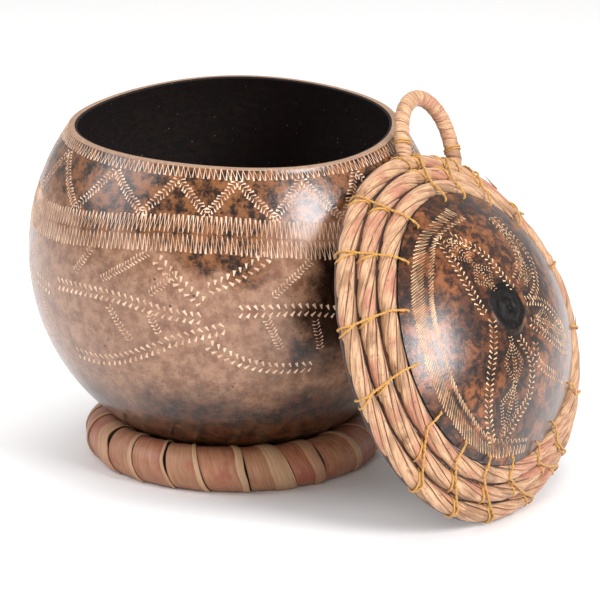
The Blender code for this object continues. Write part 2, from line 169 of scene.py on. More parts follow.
def bowl_finish(settings):
    """Lacquered gourd skin: smoked and polished, so it is mottled tan to dark brown under a hard gloss, with
    painted shade of the lid on the side towards it.

    Patches are 20 to 60 mm across, the skin's own flecks about 1.5 mm, and pores under 1 mm.
    """
    made, tree, shader, coords = start_material("lacquered smoked gourd skin")
    place = add_node(tree, "ShaderNodeMapping", {"Vector": coords, "Location": (-AXIS.x, -AXIS.y, 0)})
    parts = add_node(tree, "ShaderNodeSeparateXYZ", {0: place}).node.outputs
    cloud = add_node(tree, "ShaderNodeTexNoise", {"Vector": place, "Scale": 26, "Detail": 8, "Roughness": 0.66,
                     "Distortion": 0.15})
    grain = add_node(tree, "ShaderNodeTexNoise", {"Vector": place, "Scale": 160, "Detail": 5, "Roughness": 0.7})
    fleck = add_node(tree, "ShaderNodeTexNoise", {"Vector": place, "Scale": 750, "Detail": 2})
    grains = add_node(tree, "ShaderNodeMapRange", {"Value": grain, "From Min": 0.35, "From Max": 0.65}, **SOFT)
    # Zones whose edges wander 7 mm: smoked above the double band, darker towards the base, burnt black below
    # the band on the side towards the lid with painted shade of the lid there too, and singed in a patch at the
    # front just under it
    wobble = add_node(tree, "ShaderNodeMath", {0: cloud, 1: 0.075, 2: parts["Z"]}, operation="MULTIPLY_ADD")
    lean = add_node(tree, "ShaderNodeMath", {0: cloud, 1: 0.06, 2: parts["X"]}, operation="MULTIPLY_ADD")
    upper, lower, right, below, above, start, stop, under = (
        add_node(tree, "ShaderNodeMapRange", {"Value": way, "From Min": clear, "From Max": full}, **SOFT)
        for way, clear, full in ((wobble, 0.178, 0.190), (wobble, 0.106, 0.080), (lean, 0.060, 0.072),
                                 (wobble, 0.173, 0.164), (wobble, 0.105, 0.130), (lean, -0.012, 0.008),
                                 (lean, 0.056, 0.042), (wobble, 0.154, 0.163)))
    front = add_node(tree, "ShaderNodeMath", {0: parts["Y"], 1: 0.0}, operation="LESS_THAN")
    # On the side towards the lid the burnt zone is partly painted shade, where the leaning lid shades the bowl
    burnt_and_lid_shade, singed = right, start
    for zone in (below, above):
        burnt_and_lid_shade = add_node(tree, "ShaderNodeMath", {0: burnt_and_lid_shade, 1: zone}, operation="MULTIPLY")
    for zone in (stop, under, front):
        singed = add_node(tree, "ShaderNodeMath", {0: singed, 1: zone}, operation="MULTIPLY")
    smoked = add_node(tree, "ShaderNodeMapRange", {"Value": cloud, "From Min": 0.50, "From Max": 0.66,
                      "To Max": 0.4}, **SOFT)
    for zone in (upper, singed):
        smoked = add_node(tree, "ShaderNodeMath", {0: zone, 1: smoked}, operation="MAXIMUM")
    # Smoke mottles the skin, paler where it burnt less, and flecks and pores lie over all of it
    mottle = add_node(tree, "ShaderNodeTexNoise", {"Vector": place, "Scale": 150, "Detail": 9,
                      "Roughness": 0.78, "Distortion": 0.1})
    ember = add_node(tree, "ShaderNodeMapRange", {"Value": mottle, "From Min": 0.42, "From Max": 0.58}, **SOFT)
    flecks = add_node(tree, "ShaderNodeMapRange", {"Value": fleck, "From Min": 0.58, "From Max": 0.72,
                      "To Max": 0.6})
    pores = add_node(tree, "ShaderNodeTexVoronoi", {"Vector": place, "Scale": 95}, out="Distance")
    pore = add_node(tree, "ShaderNodeMapRange", {"Value": pores, "From Min": 0.075, "From Max": 0.045})
    # Colours of the smoked zones, of the skin darker towards the base, and of the burnt zone with its painted
    # shade
    smoke, base_dark, burn_and_lid_shade_colour = (
        add_node(tree, "ShaderNodeMix", {0: ember, 6: to_linear(dark), 7: light}, **MIXED)
        for dark, light in (("1D0E07", settings.smoke), ("0A0402", to_linear("4E2A14")),
                            ("0B0503", to_linear("2C170D"))))
    colour = add_node(tree, "ShaderNodeMix", {0: grains, 6: settings.skin_dark, 7: settings.skin}, **MIXED)
    # The burnt zone's near-black colour stands partly for painted shade of the lid
    for share, over in ((smoked, smoke), (lower, base_dark), (burnt_and_lid_shade, burn_and_lid_shade_colour), (flecks, to_linear("55341F")),
                        (pore, to_linear("2E170D"))):
        colour = add_node(tree, "ShaderNodeMix", {0: share, 6: colour, 7: over}, **MIXED)
    worn = add_node(tree, "ShaderNodeMapRange", {"Value": grain, "From Min": 0.3, "From Max": 0.7,
                    "To Min": 0.26, "To Max": 0.40})
    bump = add_node(tree, "ShaderNodeBump", {"Height": grain, "Strength": 0.5, "Distance": 0.0004})
    plug(shader, {"Base Color": colour, "Roughness": worn, "Normal": bump, "IOR": 1.5,
         "Coat Weight": settings.lacquer, "Coat Roughness": 0.22, "Specular IOR Level": 0.2,
         "Coat Normal": bump})
    return made


def lid_finish(settings):
    """Lacquered gourd skin of the lid: smoked nearly black in patches, with orange skin between, and patches of
    painted purple-grey sheen.
    """
    made, tree, shader, coords = start_material("lacquered dark gourd skin")
    place = add_node(tree, "ShaderNodeMapping", {"Vector": coords, "Location": LID_FRAME.translation,
                     "Rotation": LID_FRAME.to_euler()}, vector_type="TEXTURE")
    cloud = add_node(tree, "ShaderNodeTexNoise", {"Vector": place, "Scale": 38, "Detail": 6, "Roughness": 0.66,
                     "Distortion": 0.8})
    mottle = add_node(tree, "ShaderNodeTexNoise", {"Vector": place, "Scale": 170, "Detail": 5,
                      "Roughness": 0.72, "Distortion": 0.5})
    patch = add_node(tree, "ShaderNodeMapRange", {"Value": cloud, "From Min": 0.42, "From Max": 0.60}, **SOFT)
    spot = add_node(tree, "ShaderNodeMapRange", {"Value": mottle, "From Min": 0.42, "From Max": 0.60}, **SOFT)
    dark = add_node(tree, "ShaderNodeMix", {0: spot, 6: to_linear("1A0C06"), 7: to_linear("4E2A14")}, **MIXED)
    warm = add_node(tree, "ShaderNodeMix", {0: spot, 6: to_linear("32190C"), 7: settings.ember}, **MIXED)
    colour = add_node(tree, "ShaderNodeMix", {0: patch, 6: dark, 7: warm}, **MIXED)
    # Patches of painted sheen: a purple-grey reflection laid into the colour
    sheen_noise = add_node(tree, "ShaderNodeTexNoise", {"Vector": place, "Scale": 55, "Detail": 4, "Roughness": 0.6})
    painted_sheen = add_node(tree, "ShaderNodeMapRange", {"Value": sheen_noise, "From Min": 0.58, "From Max": 0.74,
                    "To Max": 0.4}, **SOFT)
    colour = add_node(tree, "ShaderNodeMix", {0: painted_sheen, 6: colour, 7: to_linear("3F2E2C")}, **MIXED)
    # Char spreads from the stem scar
    off = add_node(tree, "ShaderNodeVectorMath", {0: place, 1: (*SCAR_PLACE, 0.0)}, operation="SUBTRACT")
    flat = add_node(tree, "ShaderNodeVectorMath", {0: off, 1: (1.0, 1.0, 0.0)}, operation="MULTIPLY")
    away = add_node(tree, "ShaderNodeVectorMath", {0: flat}, operation="LENGTH", out="Value")
    ragged = add_node(tree, "ShaderNodeMath", {0: mottle, 1: 0.006, 2: away}, operation="MULTIPLY_ADD")
    char = add_node(tree, "ShaderNodeMapRange", {"Value": ragged, "From Min": SCAR_RADIUS + 0.0045,
                    "From Max": SCAR_RADIUS + 0.0015}, **SOFT)
    colour = add_node(tree, "ShaderNodeMix", {0: char, 6: colour, 7: to_linear("0C0605")}, **MIXED)
    worn = add_node(tree, "ShaderNodeMapRange", {"Value": mottle, "From Min": 0.3, "From Max": 0.7,
                    "To Min": 0.26, "To Max": 0.38})
    bump = add_node(tree, "ShaderNodeBump", {"Height": mottle, "Strength": 0.3, "Distance": 0.0004})
    plug(shader, {"Base Color": colour, "Roughness": worn, "Normal": bump, "IOR": 1.5,
         "Coat Weight": settings.lacquer, "Coat Roughness": 0.25, "Specular IOR Level": 0.2,
         "Coat Normal": bump})
    return made


def two_colours(name, grain, dark, light, gloss, ends=(0.0, 1.0), relief=None):
    """A finish of two colours mixed by one fine noise, which may roughen the surface too."""
    made, tree, shader, coords = start_material(name)
    noisy = add_node(tree, "ShaderNodeTexNoise", {"Vector": coords, **grain})
    share = add_node(tree, "ShaderNodeMapRange", {"Value": noisy, "From Min": ends[0], "From Max": ends[1]})
    colour = add_node(tree, "ShaderNodeMix", {0: share, 6: dark, 7: light}, **MIXED)
    plug(shader, {"Base Color": colour, **gloss})
    if relief:
        plug(shader, {"Normal": add_node(tree, "ShaderNodeBump", {"Height": noisy, **relief})})
    return made


def char_finish():
    """Charred stem scar: matt black, with grey ash on its finest ridges under 1 mm."""
    return two_colours("charred stem scar", {"Scale": 700, "Detail": 3}, to_linear("080403"),
                       to_linear("2A211D"), {"Roughness": 0.55, "Specular IOR Level": 0.25}, (0.55, 0.72))


def inside_finish():
    """Inside of the gourd, stained black: rough dry pith with a few pale crumbs under 1 mm."""
    made, tree, shader, coords = start_material("black stained gourd pith")
    pith = add_node(tree, "ShaderNodeTexNoise", {"Vector": coords, "Scale": 260, "Detail": 6,
                    "Roughness": 0.75})
    stain = add_node(tree, "ShaderNodeMapRange", {"Value": pith, "From Min": 0.35, "From Max": 0.7})
    colour = add_node(tree, "ShaderNodeMix", {0: stain, 6: to_linear("080404"), 7: to_linear("26140D")},
                      **MIXED)
    cells = add_node(tree, "ShaderNodeTexVoronoi", {"Vector": coords, "Scale": 420}).node.outputs
    crumb = add_node(tree, "ShaderNodeMapRange", {"Value": cells["Distance"], "From Min": 0.16,
                     "From Max": 0.08})
    rare = add_node(tree, "ShaderNodeSeparateColor", {0: cells["Color"]})
    chosen = add_node(tree, "ShaderNodeMath", {0: rare, 1: 0.9}, operation="GREATER_THAN")
    shown = add_node(tree, "ShaderNodeMath", {0: crumb, 1: chosen}, operation="MULTIPLY")
    colour = add_node(tree, "ShaderNodeMix", {0: shown, 6: colour, 7: to_linear("8F7F73")}, **MIXED)
    bump = add_node(tree, "ShaderNodeBump", {"Height": pith, "Strength": 0.8, "Distance": 0.0012})
    plug(shader, {"Base Color": colour, "Roughness": 0.75, "Normal": bump})
    return made


def cut_edge_finish():
    """Sawn and sanded edge of the gourd's wall: pale dense fibre, matt."""
    return two_colours("sawn gourd edge", {"Scale": 500, "Detail": 4}, to_linear("7A5C48"), to_linear("B29278"),
                       {"Roughness": 0.6}, relief={"Strength": 0.4, "Distance": 0.0004})


def engraving_finish(name, pale, deep):
    """Graver's cuts through the skin: pale dry flesh, uneven in depth and colour."""
    return two_colours(name, {"Scale": 90, "Detail": 5, "Roughness": 0.7}, deep, pale, {"Roughness": 0.55},
                       (0.38, 0.62))


def bark_finish(settings):
    """Strips of dried bark wound on the ring: red-brown, with a pale folded edge and fine fibres across."""
    made, tree, shader, coords = start_material("wound dried bark strip")
    wound = add_node(tree, "ShaderNodeUVMap", {}, uv_map="strip")
    parts = add_node(tree, "ShaderNodeSeparateXYZ", {0: wound}).node.outputs
    place = add_node(tree, "ShaderNodeMath", {0: parts["X"]}, operation="FRACT")
    whole = add_node(tree, "ShaderNodeMath", {0: parts["X"]}, operation="FLOOR")
    number = add_node(tree, "ShaderNodeMath", {0: whole, 1: float(RING_WRAPS)}, operation="FLOORED_MODULO")
    chance = add_node(tree, "ShaderNodeTexWhiteNoise", {"W": number}, noise_dimensions="1D", out="Color")
    luck = add_node(tree, "ShaderNodeSeparateColor", {0: chance}).node.outputs
    # Fibres run along the strip, so round the hoop's thickness: 78 mm round, about 0.5 mm apart
    stretch = add_node(tree, "ShaderNodeMapping", {"Vector": wound, "Scale": (20, 4, 1)})
    fibre = add_node(tree, "ShaderNodeTexNoise", {"Vector": stretch, "Scale": 1.0, "Detail": 6,
                     "Roughness": 0.7, "Distortion": 0.4})
    stain = add_node(tree, "ShaderNodeTexNoise", {"Vector": coords, "Scale": 85, "Detail": 4, "Roughness": 0.6})
    lit = add_node(tree, "ShaderNodeMapRange", {"Value": fibre, "From Min": 0.28, "From Max": 0.70})
    red, brown, pale, under = (
        add_node(tree, "ShaderNodeMix", {0: lit, 6: to_linear(shade), 7: light}, **MIXED)
        for shade, light in (("7E4630", settings.bark), ("87593D", to_linear("B58663")),
                             ("A07A57", to_linear("CBA682")), ("140907", to_linear("3A2014"))))
    strip = add_node(tree, "ShaderNodeMix", {0: luck["Red"], 6: red, 7: brown}, **MIXED)
    soak = add_node(tree, "ShaderNodeMapRange", {"Value": stain, "From Min": 0.48, "From Max": 0.66,
                    "To Max": 0.75}, **SOFT)
    strip = add_node(tree, "ShaderNodeMix", {0: soak, 6: strip, 7: to_linear("95503E")}, **MIXED)
    # The strip's far edge is folded over and shows its pale inner side
    folded = add_node(tree, "ShaderNodeMapRange", {"Value": place, "From Min": 0.500, "From Max": 0.506})
    paler = add_node(tree, "ShaderNodeMath", {0: luck["Green"], 1: 0.45, 2: 0.55}, operation="MULTIPLY_ADD")
    paler = add_node(tree, "ShaderNodeMath", {0: paler, 1: folded}, operation="MULTIPLY")
    colour = add_node(tree, "ShaderNodeMix", {0: paler, 6: strip, 7: pale}, **MIXED)
    gap = add_node(tree, "ShaderNodeMapRange", {"Value": place, "From Min": 0.90, "From Max": 0.906})
    colour = add_node(tree, "ShaderNodeMix", {0: gap, 6: colour, 7: under}, **MIXED)
    bump = add_node(tree, "ShaderNodeBump", {"Height": fibre, "Strength": 0.22, "Distance": 0.0005})
    plug(shader, {"Base Color": colour, "Roughness": 0.5, "Coat Weight": 0.12, "Coat Roughness": 0.4,
         "Normal": bump})
    return made


def leaf_finish(name, pale, deep, flush, fibres):
    """Dried palm-like leaf: straw yellow to peach, flushed pink in places, with fibres along the strip.

    The UV map holds the strand's number across and millimetres along it.
    """
    made, tree, shader, coords = start_material(name)
    wound = add_node(tree, "ShaderNodeUVMap", {}, uv_map="strip")
    parts = add_node(tree, "ShaderNodeSeparateXYZ", {0: wound}).node.outputs
    number = add_node(tree, "ShaderNodeMath", {0: parts["X"]}, operation="FLOOR")
    along = add_node(tree, "ShaderNodeMath", {0: parts["Y"], 1: 0.024}, operation="MULTIPLY")
    drift = add_node(tree, "ShaderNodeCombineXYZ", {0: along, 1: number})
    tint = add_node(tree, "ShaderNodeTexNoise", {"Vector": drift, "Scale": 1.7, "Detail": 1})
    stretch = add_node(tree, "ShaderNodeMapping", {"Vector": wound, "Scale": (fibres, 0.09, 1)})
    fibre = add_node(tree, "ShaderNodeTexNoise", {"Vector": stretch, "Scale": 1.0, "Detail": 6,
                     "Roughness": 0.72, "Distortion": 0.3})
    lit = add_node(tree, "ShaderNodeMapRange", {"Value": fibre, "From Min": 0.35, "From Max": 0.62})
    flushed = add_node(tree, "ShaderNodeMapRange", {"Value": tint, "From Min": 0.53, "From Max": 0.64}, **SOFT)
    dulled = add_node(tree, "ShaderNodeMapRange", {"Value": tint, "From Min": 0.44, "From Max": 0.36,
                      "To Max": 0.6}, **SOFT)
    straw, pink, dull = (
        add_node(tree, "ShaderNodeMix", {0: lit, 6: shade, 7: light}, **MIXED)
        for shade, light in ((deep, pale), (to_linear("8E5640"), flush),
                             (to_linear("583720"), to_linear("9C7048"))))
    # Its edges are shaded and specks of rust are strewn on it
    across = add_node(tree, "ShaderNodeMath", {0: parts["X"]}, operation="FRACT")
    off = add_node(tree, "ShaderNodeMath", {0: across, 1: 0.5}, operation="SUBTRACT")
    rim = add_node(tree, "ShaderNodeMath", {0: off}, operation="ABSOLUTE")
    edge = add_node(tree, "ShaderNodeMapRange", {"Value": rim, "From Min": 0.455, "From Max": 0.50,
                    "To Max": 0.9})
    specks = add_node(tree, "ShaderNodeTexNoise", {"Vector": coords, "Scale": 420, "Detail": 3})
    speck = add_node(tree, "ShaderNodeMapRange", {"Value": specks, "From Min": 0.62, "From Max": 0.72,
                     "To Max": 0.5})
    colour = straw
    for share, over in ((flushed, pink), (dulled, dull), (edge, to_linear("4A2A16")),
                        (speck, to_linear("6B3F26"))):
        colour = add_node(tree, "ShaderNodeMix", {0: share, 6: colour, 7: over}, **MIXED)
    bump = add_node(tree, "ShaderNodeBump", {"Height": fibre, "Strength": 0.7, "Distance": 0.0005})
    plug(shader, {"Base Color": colour, "Roughness": 0.5, "Sheen Weight": 0.15, "Normal": bump})
    return made


def thread_finish(settings):
    """Waxed two-ply fibre thread, golden, with its fibres' twist about 1 mm apart."""
    return two_colours("waxed golden fibre thread", {"Scale": 900, "Detail": 3}, to_linear("9A661E"),
                       settings.thread, {"Roughness": 0.5, "Sheen Weight": 0.3},
                       relief={"Strength": 0.5, "Distance": 0.0002})


def floor_finish():
    """Pale matt paper floor."""
    return two_colours("matt white paper", {"Scale": 3.0}, to_linear("F2F1EF"), to_linear("F6F5F4"),
                       {"Roughness": 0.9})


def finish_piece(name, bm, finishes, replaces, smooth=35):
    """Turns a bmesh into a named piece of the container that rides on its one body."""
    bmesh.ops.remove_doubles(bm, verts=bm.verts, dist=1e-7)
    bmesh.ops.recalc_face_normals(bm, faces=bm.faces)
    mesh = bpy.data.meshes.new(name)
    bm.to_mesh(mesh)
    bm.free()
    for finish in finishes:
        mesh.materials.append(finish)
    mesh.shade_smooth()
    mesh.set_sharp_from_angle(angle=radians(smooth))
    piece = bpy.data.objects.new(name, mesh)
    bpy.context.scene.collection.objects.link(piece)
    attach(piece, "root")
    if replaces:
        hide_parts(*replaces)


def spin_profile(profile, steps):
    """A closed shell from the radii and heights of its section, with merged poles."""
    bm = bmesh.new()
    verts = [bm.verts.new((radius, 0, height)) for radius, height in profile]
    edges = [bm.edges.new(pair) for pair in zip(verts, verts[1:])]
    bmesh.ops.spin(bm, geom=verts + edges, cent=(0, 0, 0), axis=(0, 0, 1), angle=2 * pi, steps=steps,
                   use_merge=True)
    bmesh.ops.remove_doubles(bm, verts=bm.verts, dist=1e-6)
    return bm


def add_tube(bm, steps, sides, place, mark=None):
    """Wraps a grid round a path: place(u, v) gives the corner at u along and v round, both 0 to 1.

    The two long edges meet, and ends whose corners fall on one point close as poles.
    mark(u, v) gives the UV map's value at a corner.
    """
    corners = bmesh.ops.create_grid(bm, x_segments=steps, y_segments=sides, size=0.5)["verts"]
    layer = bm.loops.layers.uv.get("strip") or bm.loops.layers.uv.new("strip")
    where = {vert: (vert.co.x + 0.5, vert.co.y + 0.5) for vert in corners}
    for face in {face for vert in corners for face in vert.link_faces}:
        for loop in face.loops:
            loop[layer].uv = mark(*where[loop.vert]) if mark else where[loop.vert]
    for vert, (u, v) in where.items():
        vert.co = place(u, v)


def catmull(points, share, closed=False):
    """A point on the smooth curve through the points, share running from 0 to 1."""
    count = len(points) if closed else len(points) - 1
    at = share * count
    step = min(int(at), count - 1) if not closed else int(at) % count
    rest = at - int(at) if closed else at - step
    if closed:
        four = [points[(step + shift) % count] for shift in (-1, 0, 1, 2)]
    else:
        four = [points[max(0, min(count, step + shift))] for shift in (-1, 0, 1, 2)]
    before, start, end, after = four
    return 0.5 * ((2 * start) + (end - before) * rest + (2 * before - 5 * start + 4 * end - after) * rest ** 2
                  + (3 * start - before - 3 * end + after) * rest ** 3)


# Bowl

def bowl_lobe(turn, height):
    fade = max(0.0, 1 + 1.6 * height / BOWL_HALF_HEIGHT)
    return BOWL_LOBE * cos(3 * turn + 0.6) * fade


def rim_height(turn):
    """Height of the cut edge above the floor."""
    return RIM_HEIGHT + waves(RIM_WAVES, turn)


def onto_bowl(point):
    """The point of the gourd's outside nearest along the line to its middle, and the way out there."""
    away = Vector(point) - Vector((AXIS.x, AXIS.y, BOWL_CENTRE))
    away /= sqrt((away.x ** 2 + away.y ** 2) / BOWL_RADIUS ** 2 + (away.z / BOWL_HALF_HEIGHT) ** 2)
    out = Vector((away.x / BOWL_RADIUS ** 2, away.y / BOWL_RADIUS ** 2, away.z / BOWL_HALF_HEIGHT ** 2))
    lobe = bowl_lobe(atan2(away.y, away.x), away.z)
    grow = 1 + min(1.0, hypot(away.x, away.y) / BOWL_RADIUS) * lobe / BOWL_RADIUS
    return Vector((AXIS.x + away.x * grow, AXIS.y + away.y * grow, BOWL_CENTRE + away.z)), out.normalized()


def bowl_at(turn, height):
    """A point of the gourd's outside at an angle in degrees and a height in millimetres."""
    up = height / 1000 - BOWL_CENTRE
    radius = BOWL_RADIUS * sqrt(max(0.0, 1 - (up / BOWL_HALF_HEIGHT) ** 2))
    angle = radians(turn)
    return onto_bowl((AXIS.x + radius * cos(angle), AXIS.y + radius * sin(angle), BOWL_CENTRE + up))[0]


def bowl_profile(inset, rows, top):
    """Points of the gourd's wall, inset from the outside, from the bottom up to the cut edge."""
    wide, tall = BOWL_RADIUS - inset, BOWL_HALF_HEIGHT - inset
    last = asin(top / tall)
    angles = [-pi / 2 + (last + pi / 2) * row / rows for row in range(rows + 1)]
    return [(wide * cos(angle) if row else 0.0, tall * sin(angle)) for row, angle in enumerate(angles)]


BOWL_STEPS = 224
BOWL_ROWS = 84
LIP_POINTS = 7


def make_bowl(settings):
    top = RIM_HEIGHT - BOWL_CENTRE
    outer = bowl_profile(0.0, BOWL_ROWS, top - BOWL_LIP)
    inner = bowl_profile(BOWL_WALL, BOWL_ROWS // 2, top - BOWL_LIP)[::-1]
    lip = []
    half = (outer[-1][0] - inner[0][0]) / 2
    for step in range(1, LIP_POINTS):
        turn = pi * step / LIP_POINTS
        flat = abs(cos(turn)) ** 0.55 * (1 if cos(turn) > 0 else -1)
        lip.append((inner[0][0] + half + half * flat, top - BOWL_LIP + BOWL_LIP * sin(turn) ** 0.6))
    bm = spin_profile(outer + lip + inner, BOWL_STEPS)
    wide, tall = BOWL_RADIUS - BOWL_WALL / 2, BOWL_HALF_HEIGHT - BOWL_WALL / 2
    for face in bm.faces:
        middle = face.calc_center_median()
        lip_face = middle.z > top - BOWL_LIP + 0.00002
        within = hypot(middle.x, middle.y) / wide, middle.z / tall
        bare = lip_face and hypot(middle.x, middle.y) > inner[0][0] + 0.7 * half
        face.material_index = 1 if bare else (2 if lip_face or hypot(*within) < 1 else 0)
    for vert in bm.verts:
        turn = atan2(vert.co.y, vert.co.x)
        rise = max(0.0, vert.co.z) / top
        before = sqrt(1 - (vert.co.z / BOWL_HALF_HEIGHT) ** 2) if vert.co.z > 0 else 1.0
        vert.co.z += waves(RIM_WAVES, turn) * rise * rise
        after = sqrt(1 - (vert.co.z / BOWL_HALF_HEIGHT) ** 2) if vert.co.z > 0 else 1.0
        lobe = bowl_lobe(turn, vert.co.z)
        scale = after / before + min(1.0, hypot(vert.co.x, vert.co.y) / BOWL_RADIUS) * lobe / BOWL_RADIUS
        vert.co = (AXIS.x + vert.co.x * scale, AXIS.y + vert.co.y * scale, vert.co.z + BOWL_CENTRE)
    finishes = [bowl_finish(settings), cut_edge_finish(), inside_finish()]
    finish_piece("lacquered_gourd_shell", bm, finishes, ["gourd_bowl"])


# Engraving

STROKE_RISE = 0.00011            # a cut's pale flesh, drawn this much proud of the skin
RIM_CUTS = 196                   # upright cuts in each comb
BAND_CUTS = 256
LID_CUTS = (96, 84)


def cut_stroke(bm, surface, start, end, width, taper=0.15):
    """One graver's cut as a sliver on the skin: broad where the tool went in, fine where it came out."""
    start, out = surface(start)
    end, _ = surface(end)
    way = end - start
    across = out.cross(way)
    if way.length < 0.0002:
        return
    across.normalize()
    up = way.cross(across).normalized()
    if up.dot(out) < 0:
        up.negate()
    middle = (start + end) / 2
    crown = max(0.0, (surface(middle)[0] - middle).dot(up))
    place = Matrix((across * (width / 2), up * (STROKE_RISE + crown * 0.5), way)).transposed().to_4x4()
    place.translation = middle + up * (crown * 0.6)
    bmesh.ops.create_cone(bm, cap_ends=True, segments=4, radius1=1, radius2=taper, depth=1, matrix=place)


def stations(points, pitch):
    """Places at an even pitch along a smooth line on the skin, each with the way along it."""
    fine = [catmull(points, step / 200) for step in range(201)]
    total = sum((front - back).length for back, front in zip(fine, fine[1:]))
    count = max(2, round(total / pitch))
    found, travelled, wanted = [], 0.0, total / count / 2
    for back, front in zip(fine, fine[1:]):
        length = (front - back).length
        while length > 0 and travelled + length >= wanted:
            found.append((back + (front - back) * ((wanted - travelled) / length), (front - back).normalized()))
            wanted += total / count
        travelled += length
    return found


def feather_line(bm, surface, points, rng, pitch=0.0019, reach=0.0019, width=0.00075):
    """Herringbone line: paired short cuts that meet on the line."""
    for place, along in stations(points, pitch):
        place, out = surface(place)
        side = out.cross(along).normalized()
        for way in (-1, 1):
            length = reach * rng.uniform(0.8, 1.2)
            start = place + side * (way * length) - along * (length * rng.uniform(0.35, 0.7))
            cut_stroke(bm, surface, start, place + side * (way * 0.0001), width * rng.uniform(0.7, 1.15))


def wedge_line(bm, surface, points, rng, pitch=0.0036, apart=0.0018, length=0.0024, width=0.0013):
    """Double row of short slanted wedges, broad ends outwards, as on the leaf outlines."""
    for place, along in stations(points, pitch):
        place, out = surface(place)
        side = out.cross(along).normalized()
        for way in (-1, 1):
            slant = along * (length * rng.uniform(0.25, 0.5))
            near = place + side * (way * apart * 0.45) + slant
            far = place + side * (way * (apart + length * 0.55)) - slant * 0.6
            cut_stroke(bm, surface, far, near, width * rng.uniform(0.75, 1.1), 0.3)


def comb_row(bm, surface, corner, count, rng, width, broad_top):
    """A row of upright cuts joined by fine slanting ones. corner(part, level) is a point of the band."""
    for number in range(count):
        part = (number + rng.uniform(-0.12, 0.12)) / count
        later = (number + 0.85 + rng.uniform(-0.1, 0.1)) / count
        levels = (1.0 + rng.uniform(-0.06, 0.04), rng.uniform(-0.03, 0.08))
        high, low = levels if broad_top else levels[::-1]
        foot = corner(part + 0.12 / count, low)
        cut_stroke(bm, surface, corner(part, high), foot, width * rng.uniform(0.8, 1.15))
        cut_stroke(bm, surface, foot, corner(later, high), width * 0.42, 0.6)


def band_top(turn):
    """Height in millimetres of the double band's upper edge, at an angle in degrees."""
    return 147.8 + 4.1 * cos(radians(3 * (turn + 103)))


def comb_corner(top, bottom):
    """Corners of a band round the whole bowl between two heights that depend on the angle."""
    def corner(part, level):
        turn = 360 * part - 180
        return bowl_at(turn, bottom(turn) + (top(turn) - bottom(turn)) * level)
    return corner


CHEVRON_LINE = ((-157.8, 0), (-141.8, 1), (-130, 0), (-117.1, 1), (-107, 0), (-97.2, 1), (-88.2, 0),
                (-77.2, 1), (-67.2, 0), (-55.7, 1), (-46.8, 0))    # degrees, and 1 where it points down
CHEVRONS_BEHIND = 12
LEAF_SETS = 4                    # the leaf figure repeats this many times round the bowl
LEAF_OUTLINES = (
    ((-111.2, 130.9), (-104.6, 120.0), (-97.5, 109.3)),
    ((-79.4, 132.5), (-88.6, 123.0), (-96.5, 116.4)),
    ((-146.1, 106.4), (-135.2, 107.9), (-121.5, 107.9), (-106.8, 103), (-97.9, 101.5)),
    ((-88.5, 105.4), (-71.3, 104.8), (-60.3, 101.2)),
    ((-108.7, 87.1), (-100.0, 92.5), (-91.6, 97)),
    ((-142.9, 70.5), (-128.2, 72.1), (-112.2, 83.1), (-108.7, 86)),
    ((-96.8, 88.2), (-88.0, 79.0), (-78.6, 74.2), (-66.0, 73.0)))
LEAF_VEINS = (
    ((-113.6, 132.8), (-128.1, 115.6)), ((-132.2, 129.8), (-138.1, 115.5)), ((-105.4, 123), (-113, 111.6)),
    ((-125.4, 102.6), (-118.9, 85.3)), ((-112.6, 101.4), (-110, 91.3)), ((-67.8, 128.2), (-79.1, 111.8)),
    ((-80.4, 100.8), (-76, 84.1)), ((-66.6, 98.6), (-64.3, 81.7)))


def set_round(line, shift):
    """A line of the leaf figure moved round the bowl, its top kept just under the double band."""
    moved = []
    for turn, height in line:
        follow = (band_top(turn + shift) - band_top(turn)) * smooth_step((height - 75) / 55)
        moved.append(bowl_at(turn + shift, height + follow))
    return moved


def make_bowl_engraving(settings):
    rng = random.Random(11)
    finish = engraving_finish("graved gourd flesh", settings.flesh, to_linear("B58D70"))
    width = settings.stroke_width

    def rim_edge(turn):
        return rim_height(radians(turn)) * 1000

    bm = bmesh.new()
    comb_row(bm, onto_bowl, comb_corner(lambda turn: rim_edge(turn) - 0.5, lambda turn: rim_edge(turn) - 5.2),
             RIM_CUTS, rng, width, False)
    turns = [turn for turn, _ in CHEVRON_LINE]
    lows = [low for _, low in CHEVRON_LINE]
    for step in range(1, 2 * CHEVRONS_BEHIND):
        turns.append(CHEVRON_LINE[-1][0] + (360 - 111.0) * step / (2 * CHEVRONS_BEHIND))
        lows.append(step % 2)
    heights = [band_top(turn) + 0.6 if low else rim_edge(turn) - 5.6 for turn, low in zip(turns, lows)]
    turns.append(turns[0] + 360)
    heights.append(heights[0])
    for start, end in zip(zip(turns, heights), zip(turns[1:], heights[1:])):
        line = [start, ((start[0] + end[0]) / 2, (start[1] + end[1]) / 2), end]
        way = line if start[1] < end[1] else line[::-1]
        feather_line(bm, onto_bowl, [bowl_at(*place) for place in way], rng, reach=0.0022, width=width * 1.25)
    finish_piece("rim_engraving", bm, [finish], [], smooth=80)

    for name, high, low, broad_top in (("upper_band_engraving", 0.0, 8.5, True),
                                       ("lower_band_engraving", 9.1, 17.7, False)):
        bm = bmesh.new()
        corner = comb_corner(lambda turn: band_top(turn) - high, lambda turn: band_top(turn) - low)
        comb_row(bm, onto_bowl, corner, BAND_CUTS, rng, width * 0.95, broad_top)
        finish_piece(name, bm, [finish], [], smooth=80)

    for number in range(LEAF_SETS):
        bm = bmesh.new()
        shift = 360 / LEAF_SETS * number
        for line in LEAF_OUTLINES:
            wedge_line(bm, onto_bowl, set_round(line, shift), rng, width=width * 2.0)
        for line in LEAF_VEINS:
            (turn, height), (last, bottom) = line
            middle = ((turn + last) / 2, (height + bottom) / 2)
            feather_line(bm, onto_bowl, set_round((line[0], middle, line[1]), shift), rng, width=width * 1.1)
        finish_piece(f"leaf_engraving_{number + 1}", bm, [finish], [], smooth=80)


# Ring

RING_SIDES = 44
